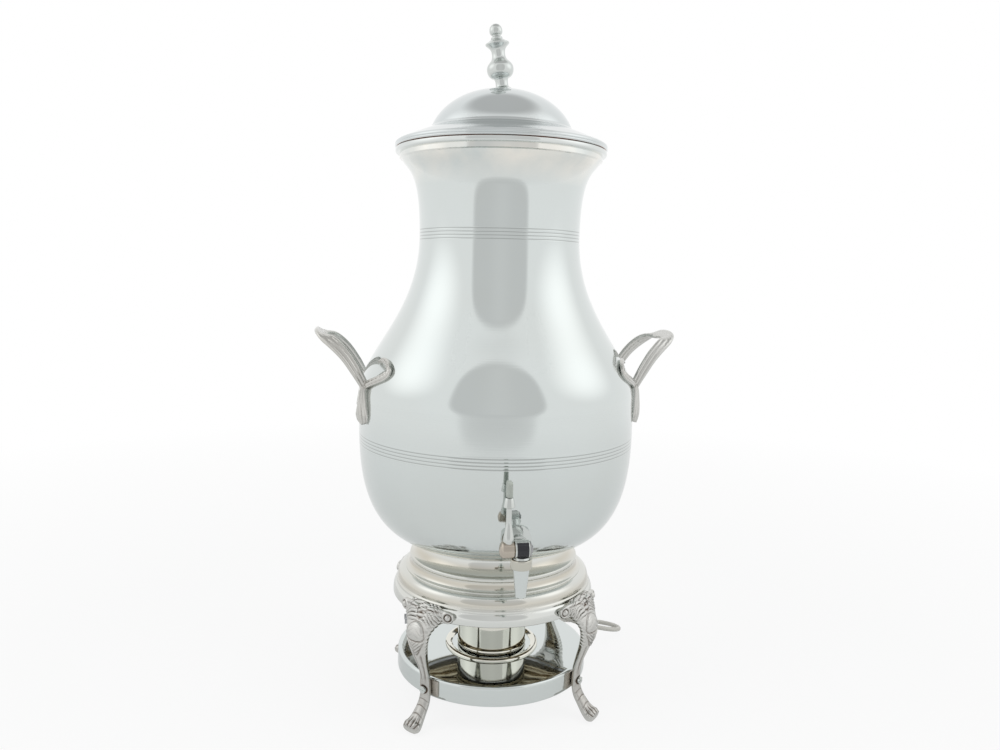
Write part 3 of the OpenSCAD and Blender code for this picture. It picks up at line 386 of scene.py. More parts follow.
def coilPoints(f):
    # turns clockwise from the front: three inwards on the table, then outwards on top; radius and height
    # by angle
    big, mid, small = f["radii"]
    deg = np.arange(0, 1801, 24.0)
    r = np.interp(deg, [0, 300, 360, 660, 720, 1260, 1320, 1620, 1680, 1800],
                  [big, big, mid, mid, small, small, mid, mid, big, big])
    z = np.interp(deg, [0, 955, 1015, 1800], [f["low"], f["low"], f["high"], f["high"]])
    a = np.radians(-90 - deg)
    return np.stack([f["coilAt"][0] + r * np.cos(a), f["coilAt"][1] + r * np.sin(a), z], 1)


def makeLead(f):
    x, y, z = f["plugAt"]
    toPlug = [(-8, y, 7.9), (x + f["reliefLong"] - 2, y, z)]
    points = np.vstack([leadRoute, coilPoints(f), toPlug]) * mm
    curve = bpy.data.curves.new("mains_lead", "CURVE")
    curve.dimensions = "3D"
    curve.bevel_depth = f["diameter"] / 2 * mm
    curve.bevel_resolution = curve.resolution_u = 5
    curve.use_fill_caps = True
    spline = curve.splines.new("BEZIER")
    spline.bezier_points.add(len(points) - 1)
    spline.bezier_points.foreach_set("co", points.ravel())
    for p in spline.bezier_points:
        p.handle_left_type = p.handle_right_type = "AUTO"
    piece = linked("mains_lead", curve)
    curve.materials.append(finishes["lead"])
    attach(piece, "urn")
    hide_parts("lead", "lead_coil")
    bpy.context.view_layer.update()
    length = float(np.linalg.norm(np.diff(through(points, 3000), axis=0), axis=1).sum())
    print("lead length", round(length, 3), "m")
    return piece, length


def makePlug(f):
    # a rounded brick, half width and half height along its length, ribbed for the fingers; then a ringed cone
    n = 70
    t = np.linspace(0, 1, n)
    x, y, z = f["plugAt"]
    half = np.sqrt(np.clip(1 - ((t - 0.5) / 0.5) ** 10, 0, 1))
    taper = 0.80 + 0.20 * np.clip(t / 0.45, 0, 1) ** 1.5
    grip = 1 - 0.035 * np.clip(np.cos(2 * math.pi * (t - 0.08) * 11), 0, 1) * (t < 0.62) * (t > 0.1)
    wide = f["plugHalf"][0] * half * taper * grip
    tall = f["plugHalf"][1] * half * (0.9 + 0.1 * taper) * grip
    path = np.stack([x - f["plugLong"] * t, np.full(n, y), np.full(n, z)], 1)
    brick = swept(path, wide, tall, np.array([0, 0, 1.0]), 56, 0.62)
    k = np.linspace(0, 1, 60)
    cone = 3.1 + 1.8 * (1 - k) + 0.35 * np.clip(np.sin(2 * math.pi * k * 7), 0, 1)
    outline = stack([[0, -1], [4.9, -1]], np.stack([cone, f["reliefLong"] * k], 1), [0, f["reliefLong"]])
    place = Matrix.Translation(f["plugAt"]) @ Matrix.Rotation(math.pi / 2, 4, "Y")
    return makePiece("moulded_plug", [brick, spun(outline, 40, place)], "lead", "urn",
                     ["lead_plug"])


def makeTail(f):
    # the part of the lead inside the can
    path = through(tailRoute, 50)
    tail = capped(swept(path, f["tail"] / 2, f["tail"] / 2, np.array([0, 0, 1.0]), 20))
    makePiece("lead_tail", [tail], "lead", "urn")


def makeGland(v):
    # strain relief: a collar on each side of the can's wall, then a ringed cone that narrows to its exit
    k = np.linspace(0, 1, 90)
    x, y, z = v["exit"]
    cone = 6.1 - 2.7 * k - 0.45 * (np.sin(2 * math.pi * k * v["rings"]) > 0.2) * (k < 0.92)
    a = v["start"]
    collars = profile((v["wayR"], a), (6.6, a), (6.6, a + 4.4), (4.6, a + 4.4), (4.6, a + 6.1),
                      (6.2, a + 6.1), (6.2, a + 8.5))
    outline = stack(collars, np.stack([cone, v["sleeve"] + (y - v["sleeve"]) * k], 1), [v["wayR"], y])
    place = Matrix.Translation((x, 0, z)) @ Matrix.Rotation(-math.pi / 2, 4, "X")
    return makePiece("strain_relief", [spun(outline, 40, place)], "rubber", "urn",
                     ["lead_gland"])


lead, leadLength = makeLead(leadFacts)
plug = makePlug(leadFacts)
makeTail(leadFacts)
relief = makeGland(gland)
print("lead, plug and relief made")

# body and mouth

body = {"foot": (76, 159), "belly": (133.3, 304), "neck": (76.8, 456), "mouth": (96, 531), "wall": 1.5,
        "bands": (258.5, 451.5), "lines": 4, "pitch": 3.0, "depth": 0.16, "width": 0.42, "ridge": 0.03,
        "reach": 1.4, "upright": 5.0, "hole": 24.8}
roll = {"inner": 94.5, "outer": 100, "low": 531, "high": 536.2, "round": 2.0}


def bodyCurve(b, n):
    # from the foot three pulled curves: out to the belly, in to the neck, out to the mouth
    f, g, h, m = b["foot"], b["belly"], b["neck"], b["mouth"]
    return profile(f, ((f[0] + 65.5, f[1] + 16), (g[0], g[1] - 46), g, n),
                   ((g[0], g[1] + 40.5), (h[0], h[1] - 77), h, n),
                   ((h[0], h[1] + 69), (m[0] - 4.2, m[1] - 17), m, n))


bodyLine = bodyCurve(body, 200)


def bodyRadius(z):
    return np.interp(z, bodyLine[:, 1], bodyLine[:, 0])


def makeBody(b):
    # heights crowd together at the turned lines; each is a narrow bell-shaped dip between two faint ridges
    (footR, footZ), (mouthR, mouthZ), wall = b["foot"], b["mouth"], b["wall"]
    lines = np.add.outer(b["bands"], np.arange(b["lines"]) * b["pitch"]).ravel()
    spread = np.interp(np.linspace(0, 1, 150), np.linspace(0, 1, len(bodyLine)), bodyLine[:, 1])
    coarse = np.unique(np.round(spread, 3))
    coarse = coarse[np.abs(coarse[:, None] - lines).min(1) > b["reach"] + 0.05]
    z = np.sort(np.append(coarse, np.add.outer(lines, np.linspace(-b["reach"], b["reach"], 13))))
    off = z[:, None] - lines
    dips = b["ridge"] * bump(np.abs(off), 1.0, 0.4) - b["depth"] * bump(off, 0, b["width"])
    r = bodyRadius(z) + dips.sum(1)
    z[0], r[0] = footZ, footR - 1
    r = np.where(z > mouthZ - b["upright"], mouthR, r)
    inZ = np.linspace(mouthZ, footZ + wall, 70)
    inR = bodyRadius(inZ) - wall * 1.15
    inR[-1] = footR + 6
    outline = stack([[b["hole"], footZ], [footR - 4, footZ]], np.stack([r, z], 1), np.stack([inR, inZ], 1),
                    [b["hole"], footZ + wall])
    soil = bump(outline[:, 1][:, None] - lines, 0, b["width"]).sum(1) * (outline[:, 0] > 70)
    soil[len(r) + 2:] = 0
    makePiece("body_of_urn", [spun(outline, 200, soil=soil)], "plate", "urn",
              ["body_shell"], 50)


def makeRoll(v):
    # ring whose two outer edges are rounded by quarter circles
    e = v["round"]
    corners = [np.stack([v["outer"] - e + e * np.cos(a), z + e * np.sin(a)], 1)
               for a, z in ((np.linspace(-math.pi / 2, 0, 9), v["low"] + e),
                            (np.linspace(0, math.pi / 2, 9), v["high"] - e))]
    outline = stack([v["inner"], v["low"]], *corners, [v["inner"], v["high"]])
    makePiece("mouth_roll", [spun(outline, 200)], "rim", "urn", ["mouth_rim"])


makeBody(body)
makeRoll(roll)
print("body made")

# lid and finial

lid = {"radius": 100.5, "edge": 536.25, "edgeHigh": 4.5, "crease": 20, "dome": 36, "domeR": 66.5,
       "wall": 1.2, "lip": 0.8, "hole": 2.6, "lipPoints": 19}
finial = {"lean": 8}
creaseZ = lid["edge"] + lid["crease"]
domeZ = creaseZ + lid["dome"]


def makeLid(v):
    # dome over a shallow creased flare that ends in a thin lip of two beads; the inside is the same
    # outline moved in, without the lip's points
    r, z, d = v["radius"], v["edge"], v["domeR"]
    top = z + v["edgeHigh"]
    outer = stack([v["hole"], domeZ], profile(
        (3, domeZ), ((0.55 * d, domeZ), (0.9 * d, creaseZ + 0.5 * v["dome"]), (d, creaseZ), 60),
        ((d + 1.5, creaseZ - 2), (d + 4, creaseZ - 3.2), (d + 8, creaseZ - 4.6), 24),
        ((d + 17, creaseZ - 7.8), (r - 10, top + 4.2), (r - 2.5, top + 1.4), 30),
        ((r - 1.9, top + 1.1), (r - 1.7, top + 0.7), (r - 1.4, top + 0.5), 4),
        ((r, top + 0.3), (r + 0.1, z + 2.6), (r - 0.5, z + 2.2), 8),
        ((r + 0.2, z + 1.9), (r + 0.1, z + 0.4), (r - v["lip"], z), 7))[1:])
    inner = movedIn(outer, v["wall"])[:-v["lipPoints"]]
    inner[:, 0] = np.clip(inner[:, 0], v["hole"], r - v["wall"])
    outline = stack(outer, [[r - v["wall"] - v["lip"], z], [r - v["wall"], z + 1.6]], inner[::-1])
    makePiece("domed_lid", [spun(outline, 200)], "lidPlate", "lid", ["lid_shell"])


def makeFinial(v):
    # turned drop: foot, neck, bulb, waist, flared cup and ball, heights over the dome; all leans to the left
    outline = profile(
        (0, -1), (9.4, -1), (9.8, -0.4), (9.7, 0.4), ((8.6, 0.9), (8.4, 1.0), (8.2, 1.5), 4),
        ((6.6, 2.0), (6.0, 3.2), (5.9, 5.0), 10), ((5.8, 7.6), (6.0, 9.4), (7.2, 10.8), 8),
        ((10.2, 11.2), (12.4, 14.4), (12.6, 18.2), 14), ((12.8, 22.2), (10.6, 24.2), (8.6, 26.2), 14),
        ((6.9, 27.9), (6.2, 30.0), (6.2, 32.6), 12), ((6.3, 37.2), (8.0, 38.4), (10.9, 41.0), 12),
        (11.2, 41.5), (11.2, 42.2), (10.7, 42.7), ((9.4, 43.2), (8.4, 43.6), (7.6, 44.6), 7),
        ((6.6, 45.2), (5.8, 45.4), (5.3, 46.0), 5), ((5.6, 46.6), (5.6, 47.4), (5.0, 47.9), 5),
        ((3.9, 48.3), (3.7, 49.0), (4.3, 49.6), 7), ((6.2, 50.6), (6.3, 53.0), (6.0, 54.6), 10),
        ((5.6, 57.4), (3.6, 59.9), (0, 60.0), 14))
    lean = Matrix.Translation((0, 0, domeZ)) @ Matrix.Rotation(math.radians(-v["lean"]), 4, "Y")
    makePiece("turned_finial", [spun(outline, 96, lean)], "castBright", "lid", ["finial"],
              50)


makeLid(lid)
makeFinial(finial)
print("lid and finial made")

# pedestal, tray and heater can

stand = {"foot": 76, "footZ": 159, "step": 83.5, "stepZ": 143.5, "skirt": 100, "skirtZ": 105, "wall": 1.5,
         "tray": 95, "trayZ": 46, "drop": 19, "can": 35, "canZ": 46.8, "flange": 46}
# dirt in the hollow sides of the pedestal: height from its step, half height, share
dirtyCoves = ((5.5, 4.5, 0.5), (-7, 3.6, 0.5), (-20, 4.5, 0.4))
canBeads = ((48.8, 1.1, 0.5), (88.8, 1.3, 0.45))


def makePedestal(v):
    # two hollow-sided steps, each with a bead above and below it, over a rolled skirt
    f, fz, s, z, r, low = v["foot"], v["footZ"], v["step"], v["stepZ"], v["skirt"], v["skirtZ"]
    outer = profile((f - 6, fz - 0.01), (f - 3, fz - 0.2), (f - 2.6, fz - 1),
                    ((f - 2.6, z + 8), (s - 5, z + 2.2), (s - 1.5, z + 1.2), 22),
                    ((s - 0.4, z + 0.9), (s, z + 0.2), (s, z - 0.9), 6),
                    ((s, z - 2.2), (s - 0.6, z - 2.6), (s - 0.9, z - 3.2), 5),
                    ((s - 0.7, z - 7.4), (s + 0.6, z - 10.2), (s + 3.0, z - 10.9), 14),
                    ((s + 4.4, z - 11.0), (s + 4.6, z - 11.8), (s + 4.2, z - 12.6), 6),
                    ((r - 6, z - 13.3), (r - 4.4, z - 18), (r - 4.4, z - 23.6), 18),
                    ((r - 3.4, z - 24.2), (r - 3, z - 25.2), (r - 3.1, z - 27), 7),
                    ((r - 1, z - 28.6), (r, z - 32), (r, low + 1.4), 14), (r - 0.1, low + 0.5),
                    (r - 0.6, low))
    inner = movedIn(outer, v["wall"])[3:-3]
    hole = v["flange"] + 2
    outline = stack(outer, [r - 0.6 - v["wall"], low], inner[::-1],
                    [[hole, fz - v["wall"]], [hole, fz - 0.01]])
    soil = np.ones(len(outline))
    soil[:len(outer)] = sum(share * bump(outer[:, 1] - z, high, half) for high, half, share in dirtyCoves)
    makePiece("stepped_pedestal", [spun(outline, 200, soil=soil)], "warmPlate", "urn",
              ["pedestal"], 55)


def makeTray(v):
    # flat mirror with a rolled edge and a down-turned rim that ends in a small bead
    r, z, low = v["tray"], v["trayZ"], v["trayZ"] - v["drop"]
    flat = [(x, z) for x in np.linspace(20, r - 4, 10)]
    edge = profile((0, z), *flat, ((r - 1.4, z), (r, z - 1), (r, z - 3.4), 9), (r, z - 8), (r, low + 4.2))
    bead = profile((r, low + 3.6), ((r + 0.15, low + 3.2), (r + 0.15, low + 1.2), (r - 0.2, low), 7),
                   (r - 1.4, low), (r - 1.5, low + 2), (r - 1.5, z - 4),
                   ((r - 1.6, z - 2), (r - 2.6, z - 1.5), (r - 5, z - 1.5), 6), (0, z - 1.5))
    outline = stack(edge, bead[1:])
    makePiece("mirror_tray", [spun(outline, 200)], "bright", "urn", ["tray_disc"], 50)


def makeTrayRing(v):
    # locating ring: a low hump with a lip towards its middle
    z = v["trayZ"]
    hump = profile((47, z + 0.2), ((47, z + 1.8), (46, z + 2.6), (44.4, z + 2.75), 10),
                   ((42.8, z + 2.8), (41.4, z + 1.6), (40, z + 0.7), 10))
    outline = stack([[40, z + 0.01], [47, z + 0.01]], hump[1:])
    # the ring's cream finish is a painted reflection
    makePiece("locating_ring", [spun(outline, 160)], "warmReflectionPlate", "urn", ["tray_ring"], 55)


def makeCan(v):
    # drum with a flange above and a rolled bead near its lower end and below its middle
    r, low, top = v["can"], v["canZ"], v["footZ"] - 1.6
    z = np.linspace(low + 0.6, top, 150)
    drum = np.stack([r - 0.5 + sum(high * bump(z, at, half) for at, half, high in canBeads), z], 1)
    outline = stack([[r - 1.7, low], [r - 0.7, low]], drum,
                    [[v["flange"], top], [v["flange"], top + 1.5], [r - 1.7, top + 1.5]])
    # the drum's cream finish is a painted reflection
    makePiece("heater_drum", [spun(outline, 160)], "warmReflectionPlate", "urn", ["heater_can"], 55)


makePedestal(stand)
makeTray(stand)
makeTrayRing(stand)
makeCan(stand)
print("stand made")

# tap

tap = {"reach": 150, "z": 196, "bodyR": 7, "barrelR": 7.7, "barrelHalf": 6.2, "hubW": 9.4, "hubR": 7.3,
       "dome": 3.2, "stemTop": 36, "collar": 8, "key": 58, "ringR": 9, "ringH": 8.4, "nozzle": 25,
       "tipR": 4.6, "wayR": 3, "bore": 5.05, "shankR": 6.6, "seatDegrees": (-52, 58)}
tapAt = Matrix.Translation((0, -tap["reach"], tap["z"]))
hubAt = tapAt @ Matrix.Translation((-tap["barrelHalf"] - 0.3 - tap["hubW"] / 2, 0, 0))
ringLow = -tap["ringH"] - tap["barrelR"]
alongX = Matrix.Rotation(math.pi / 2, 4, "Y")
towardsBody = Matrix.Rotation(-math.pi / 2, 4, "X")


def turned(name, outline, around, place, finish, body, slot, *nodes):
    # a piece that is one profile turned about its place's own axis
    makePiece(name, [spun(outline, around, place)], finish, body, nodes)


def makeTapCasting(v):
    # cross barrel with rounded ends, upright spout and a shank with collars through the body's wall
    c, r, w = v["barrelHalf"], v["barrelR"], v["wayR"]
    barrel = profile((v["bore"], -c), (r - 0.7, -c), ((r - 0.2, -c), (r, -c + 0.3), (r, -c + 0.8), 5),
                     (r, c - 0.8), ((r, c - 0.3), (r - 0.2, c), (r - 0.7, c), 5), (v["bore"], c))
    top = ringLow + v["ringH"]
    upright = profile((w, ringLow), (v["bodyR"], ringLow), (v["bodyR"], top), (6.1, top + 1.4),
                      (w, top + 1.4))
    gap, s = v["reach"] - bodyRadius(v["z"]), v["shankR"]
    shank = profile((w, 7.2), (6.2, 7.2), (6.4, 8), (8.0, 8.4), (8.2, 9.2), (7.2, 10.2), (s, 11),
                    (s, gap - 4), (7.4, gap - 3.4), (7.4, gap + 1), (5.9, gap + 1.4), (5.9, gap + 14),
                    (w, gap + 14))
    shells = [spun(barrel, 64, tapAt @ alongX), spun(upright, 64, tapAt),
              spun(shank, 56, tapAt @ towardsBody)]
    makePiece("tap_casting", shells, "castBright", "urn", ["tap_barrel"])


def makeTapSeat(v):
    # dark plastic in the barrel's mouth: a thin patch on its curve, angle by width, its lower corners rounded
    angle, along = np.meshgrid(np.radians(np.linspace(*v["seatDegrees"], 40)), np.linspace(-1, 1, 34),
                               indexing="ij")
    half = (v["barrelHalf"] - 1.3) * (1 - 0.35 * np.clip((-angle - 0.35) / 0.6, 0, 1) ** 3)
    skins = [np.stack([along * half + 0.2, -r * np.cos(angle), r * np.sin(angle)], -1)
             for r in (v["barrelR"] + 0.35, v["barrelR"] - 0.3)]
    points = np.concatenate([skins[0], skins[1][:, ::-1]], 1) + np.array([0, -v["reach"], v["z"]])
    shell = capped((points, None, np.zeros(points.shape[:2])))
    makePiece("dark_tap_seat", [shell], "seat", "urn")


def makeKey(v):
    # domed hub, swelling stem, collar, and a grip whose squarish oval section rounds off at both ends
    h, half, t, c = v["hubR"], v["hubW"] / 2, v["stemTop"], v["stemTop"] + v["collar"]
    hub = profile((0, half), (h - 0.6, half), (h, half - 0.6), (h, -half + 0.5),
                  ((h, -half - 0.8), (h - 1.6, -half - 2.4), (0, -half - v["dome"]), 16))
    # the hub finish's brown is a painted reflection
    turned("key_hub_cap", hub, 64, hubAt @ alongX, "hub", "tap_key", "cast_silver", "key_hub")
    stem = profile((0, 5.6), (4.5, 5.6), (4.6, h + 0.4), (4.6, h + 1.4),
                   ((4.2, h + 6), (3.1, h + 9.5), (2.4, h + 16), 14), (2.3, t - 1), (2.9, t - 0.4), (0, t))
    turned("key_stem_turned", stem, 48, hubAt, "castBright", "tap_key", "cast_silver", "key_stem")
    swell = profile((4.4, t), ((5.0, t + 0.1), (5.1, t + 0.8), (4.8, t + 1.4), 5), (3.7, c - 0.5),
                    (3.3, c), (0, c))
    collar = stack([0, t], swell[1:])
    turned("key_collar_turned", collar, 48, hubAt, "castBright", "tap_key", "cast_silver", "key_collar")
    k = np.linspace(0, 1, 40)
    grow = np.sqrt(np.clip(1 - ((k - 0.5) / 0.5) ** 12, 0, 1))
    path = np.array(hubAt.translation) + np.stack([0 * k, 0 * k, c + (v["key"] - c) * k], 1)
    grip = swept(path, 5.3 * grow * (0.92 + 0.1 * k), 2.75 * grow * (1.02 - 0.1 * k),
                 np.array([-1.0, 0, 0]), 40, 0.7)
    makePiece("key_grip_moulded", [capped(grip)], "grip", "tap_key", ["key_grip"])


def makeSpout(v):
    # band with rounded edges round the upright, and a tapering nozzle below it
    r, z, top = v["ringR"], ringLow, ringLow + v["ringH"]
    ring = profile((7.05, z), (r - 0.9, z), ((r, z + 0.1), (r, z + 0.6), (r, z + 1.2), 5), (r, top - 1.2),
                   ((r, top - 0.5), (r - 0.3, top), (r - 0.9, top), 5), (7.05, top))
    turned("spout_band", ring, 64, tapAt, "band", "urn", "cast_silver", "spout_ring")
    b, w, tip, low = v["bodyR"], v["wayR"], v["tipR"], z - v["nozzle"]
    nozzle = profile((w, low), (tip - 0.5, low), (tip, low + 0.5), (tip + 0.1, low + 1.6),
                     (b - 0.1, z - 1.2), (b, z - 0.02), (w, z - 0.02))
    turned("pouring_nozzle", nozzle, 64, tapAt, "bright", "urn", "silver_plate", "nozzle")


makeTapCasting(tap)
makeTapSeat(tap)
makeKey(tap)
makeSpout(tap)
print("tap made")

# legs: cast acanthus leaf, scroll ends, stem and toe

leg = {"radius": 100, "top": 105, "angles": (-46, 46, -132, 132),
       "names": ("leg_front_left", "leg_front_right", "leg_rear_left", "leg_rear_right")}
# distance out, height from the pedestal's lower edge, half thickness, half width
legStations = np.array([
    (-0.2, 15, 1.4, 15), (1.6, 11.5, 2.4, 21), (3.6, 7, 3.6, 22.5), (6.0, 1, 4.6, 19), (9.0, -5, 5.2, 14.2),
    (11.4, -10, 5.0, 12.0), (12.0, -16, 4.8, 10.8), (11.4, -22, 4.6, 9.6), (9.4, -29, 4.3, 8.3),
    (6.6, -37, 3.9, 6.7), (3.4, -46, 3.5, 5.3), (1.0, -55, 3.3, 4.8), (0.0, -64, 3.3, 5.0),
    (0.2, -73, 3.3, 5.4), (2.6, -82, 3.6, 5.7), (8.2, -90, 4.0, 6.0), (13.6, -96.0, 4.6, 6.8),
    (18.2, -98.6, 5.0, 7.8), (22.0, -99.6, 3.6, 6.6)])
# where the ornament sits, by the same heights: a centre, or the two ends of a stretch
# the worn mark is the height below which the leg's colour turns darker towards the foot
marks = {"lobes": -2.5, "rosette": 4.2, "knee": -9, "leaf": (-16.5, -30), "stem": (-29, -58), "worn": -52,
         "screw": -68.5, "shin": (-75, -93), "toe": -94}
# wing of a leg: distance from the middle, upper edge, lower edge
wingEdges = np.array([(4, 12.5, -4), (8.5, 13.8, -5.5), (13, 14, -4.6), (17.4, 13.6, -1.4), (21.5, 13, 1),
                      (26, 12.6, 1.2), (29.2, 11.7, 2.2), (31, 9.8, 4.2), (31.8, 7.3, 6.7)])
wing = {"eye": (26.2, 7), "scroll": 5.8, "leafEnd": 17.2}


def inlaid(ground, share, add, dark):
    # a motif in place of the ground where its share is 1
    return ground[0] * (1 - share) + share * add, ground[1] * (1 - share) + share * dark


def laidOn(ground, share, add, dark):
    # a motif on top of the ground where its share is 1
    return ground[0] + share * add, ground[1] + share * dark


def belt(high, ends, startSoft, endSoft):
    # 1 between the two heights: one step times what the other leaves
    return step(-high, -ends[0], startSoft) * (1 - step(-high, -ends[1], endSoft))


def featherRelief(across, high):
    # drooping lobes: ridges along parabolas that fall away from the middle, parted by cuts, with fine veins
    phase = (high + 0.030 * across ** 2 + 1.2 * np.sin(across * 0.35)) / 3.5
    lobes, veins = ridges(phase), ridges(phase * 3)
    return 1.5 * lobes ** 0.7 - 0.7 + 0.22 * veins, cuts(lobes, 2.2) + 0.3 * cuts(veins, 2.4)


def rosette(far, high):
    # a bell for the button in a ring of six petals, the cosine of six times the angle
    up = high - marks["rosette"]
    d = np.hypot(far, up)
    petals = 0.5 + 0.5 * np.cos(6 * np.arctan2(up, far))
    add = 1.5 * bump(d, 0, 1.5) + 0.8 * bump(d, 3.0, 0.9) * (0.4 + 0.6 * petals) - 0.4
    return 1 - step(d, 4.4, 0.25), add, bump(d, 1.9, 0.5) + 0.7 * bump(d, 3.0, 1.2) * (1 - petals)


def kneeShield(far, high):
    # a low oval dome, the root of one minus its square distance, in a sunk ring, with short slanting cuts
    side = np.abs(far)
    d = np.hypot(far / 8.6, (high - marks["knee"] + 0.03 * far ** 2) / 6.8)
    strokes = cuts(ridges((high + 0.55 * side + 1.0) / 3.1), 3.2)
    strokes = strokes * step(side, 1.6, 0.25) * (1 - step(d, 0.82, 0.05))
    add = 1.6 * np.clip(1 - d ** 2, 0, 1) ** 0.5 - 0.6 * bump(d, 1.08, 0.08) + 0.45 - 0.4 * strokes
    return 1 - step(d, 1.22, 0.03), add, 0.6 * bump(d, 1.08, 0.07) + 0.45 * strokes


def hangingLeaf(far, high):
    # slanting strokes inside a width that narrows to a point, with a dark outline
    inside = np.clip(1 - (-high - 17) / 13.5, 0.02, 1) * 8.2 - np.abs(far)
    leaf, strokes = step(inside, 0, 0.35), ridges((high - 0.85 * np.abs(far)) / 2.7)
    dark = leaf * cuts(strokes, 2.0) + 0.6 * bump(inside, -0.6, 0.6)
    return belt(high, marks["leaf"], 0.5, 0.5), leaf * (1.25 * strokes ** 0.7 + 0.35), dark


def stemFlutes(across, high):
    # a rib down the middle, a dark groove on each side and a raised edge
    side = np.abs(across)
    groove = bump(side, 0.5, 0.17)
    add = 0.5 * bump(across, 0, 0.24) - 0.6 * groove + 0.35 * bump(side, 0.88, 0.14)
    return belt(high, marks["stem"], 1.0, 2.0), add, 0.5 * groove


def shinBands(across, high):
    # ridges along parabolas that cross the shin
    bands = ridges((high + 2.2 * across ** 2) / 6.5)
    add = 0.55 * bump(across, 0, 0.5) - 0.35 * (1 - bands) ** 3
    return belt(high, marks["shin"], 1.5, 1.0), add, 0.55 * cuts(bands, 3)


def toeGrooves(across, high):
    # claws side by side: the absolute cosine across
    claws = ridges(2 * across + 0.5)
    return step(-high, -marks["toe"], 0.6), 1.1 * claws ** 0.6 - 0.5, 0.9 * cuts(claws, 2.0)


def leafRelief(high, across, wide):
    # lobes from the top, then each motif down the leg, the ring round the screw and a darker colour towards
    # the foot
    far = across * wide
    lobes = step(high, marks["lobes"], 0.8)
    ground = [k * lobes for k in featherRelief(far, high)]
    for motif in (rosette, kneeShield):
        ground = inlaid(ground, *motif(far, high))
    for motif, along in ((hangingLeaf, far), (stemFlutes, across), (shinBands, across), (toeGrooves, across)):
        ground = laidOn(ground, *motif(along, high))
    add, dark = ground
    screw = 0.9 * bump(np.hypot(far, high - marks["screw"]), 3.9, 0.7)
    # below the worn mark the colour turns darker towards the foot
    return add, np.clip(dark + screw + 0.24 * step(-high, -marks["worn"], 4.0), 0, 1)


def makeWing(hand, v):
    # a plate between an upper and a lower edge, ended by a round scroll with an eye; relief by millimetres:
    # rings round the eye, a raised rim along the lower edge, drooping lobes nearer the leaf
    n, sides = 110, 60
    far, top, low = through(wingEdges, n).T
    a = np.arange(sides) * 2 * math.pi / sides
    c, s = np.cos(a)[None, :], np.sin(a)[None, :] * hand
    u, face = np.sign(s) * np.abs(s) ** 0.75, np.sign(c) * np.abs(c) ** 0.8
    high = ((top + low) / 2)[:, None] + np.maximum((top - low) / 2, 0.3)[:, None] * u
    out = far[:, None] + 0 * high
    d = np.hypot(out - wing["eye"][0], high - wing["eye"][1])
    edge, under = high - low[:, None], top[:, None] - high
    lobesAdd, lobesDark = featherRelief(out, high)
    nearLeaf = (1 - step(out, wing["leafEnd"], 0.8)) * step(edge, 3.2, 0.4)
    plain = step(d, wing["scroll"], 0.2)
    rimAdd = 0.8 * bump(edge, 1.2, 1.1) - 0.5 * bump(edge, 3.2, 0.7) - 0.5 * bump(under, 2.6, 0.7)
    rimDark = 0.7 * bump(edge, 3.2, 0.6) + 0.6 * bump(under, 2.6, 0.6)
    eye = 1.7 * np.sqrt(np.clip(1 - (d / 2.6) ** 2, 0, 1))
    eye = eye - 0.7 * bump(d, 3.3, 0.55) + 0.7 * bump(d, 4.9, 0.9)
    ground = 0.8 * nearLeaf * lobesAdd + plain * rimAdd, nearLeaf * lobesDark + plain * rimDark
    add, dark = inlaid(ground, 1 - plain, eye, bump(d, 3.3, 0.5))
    front = np.clip(c, 0, 1) ** 0.35
    thick = np.interp(far, [4, 16, 27, 32], [3.4, 2.8, 2.5, 1.8])[:, None]
    deep = v["radius"] + np.interp(far, [4, 14, 22, 32], [4.4, 3.6, 2.6, 2.4])[:, None]
    points = np.stack([deep + thick * face + add * front, hand * out, v["top"] + high], -1)
    return capped((points, None, np.clip(dark, 0, 1) * front))


def makeLeg(name, degrees, v):
    # the leaf is one swept shell with a wing on each side; all are bent round the pedestal: across becomes
    # an angle
    n = 420
    s = through(legStations, n)
    path = np.stack([v["radius"] + s[:, 0], np.zeros(n), v["top"] + s[:, 1]], 1)
    high, wide = s[:, 1][:, None], s[:, 3]
    scallop = 1 + 0.07 * step(s[:, 1], -30, 1.0) * (ridges(s[:, 1] / 3.5) ** 0.6 - 0.6)
    main = capped(swept(path, wide * scallop, s[:, 2], np.array([1.0, 0, 0.2]), 96, 0.72,
                        relief=lambda share, u: leafRelief(high, u, wide[:, None])))
    main[0][..., 2] = np.maximum(main[0][..., 2], 0.0)
    turn = math.radians(degrees - 90)
    bent = []
    for p, f, d in (main, makeWing(1, v), makeWing(-1, v)):
        a = turn + p[..., 1] / (v["radius"] + 3)
        bent.append((np.stack([p[..., 0] * np.cos(a), p[..., 0] * np.sin(a), p[..., 2]], -1), f, d))
    makePiece(name.replace("leg", "acanthus_leg"), bent, "cast", "urn", [name], 60)


for name, degrees in zip(leg["names"], leg["angles"]):
    makeLeg(name, degrees, leg)
print("legs made")

# handles

handle = {"z": 317, "half": 38, "tip": 170.8, "rise": 45, "swing": 14}
# scroll and hanging leaf at a root: degrees round the body, height and distance out from it
scrollRoute = ((-0.4, -2, 2.2), (4.2, 3, 2.2), (9.6, 7.5, 2.0), (14.0, 11.5, 2.0), (15.6, 15.5, 2.0),
               (14.0, 20, 2.0), (10.4, 23.6, 1.8), (6.6, 24.2, 1.5), (3.6, 21.6, 0.8))
fallRoute = ((0, 4, 2.6), (0, -5, 2.4), (0, -14, 2.4), (0, -23, 2.8), (0, -30, 2.6), (0, -36, 1.2))


def onBody(angle, rise, out):
    # a point on the body at an angle from +X in degrees and a height above the roots, pushed out
    z = handle["z"] + rise
    r, a = bodyRadius(z) + out, math.radians(angle)
    return r * math.cos(a), r * math.sin(a), z


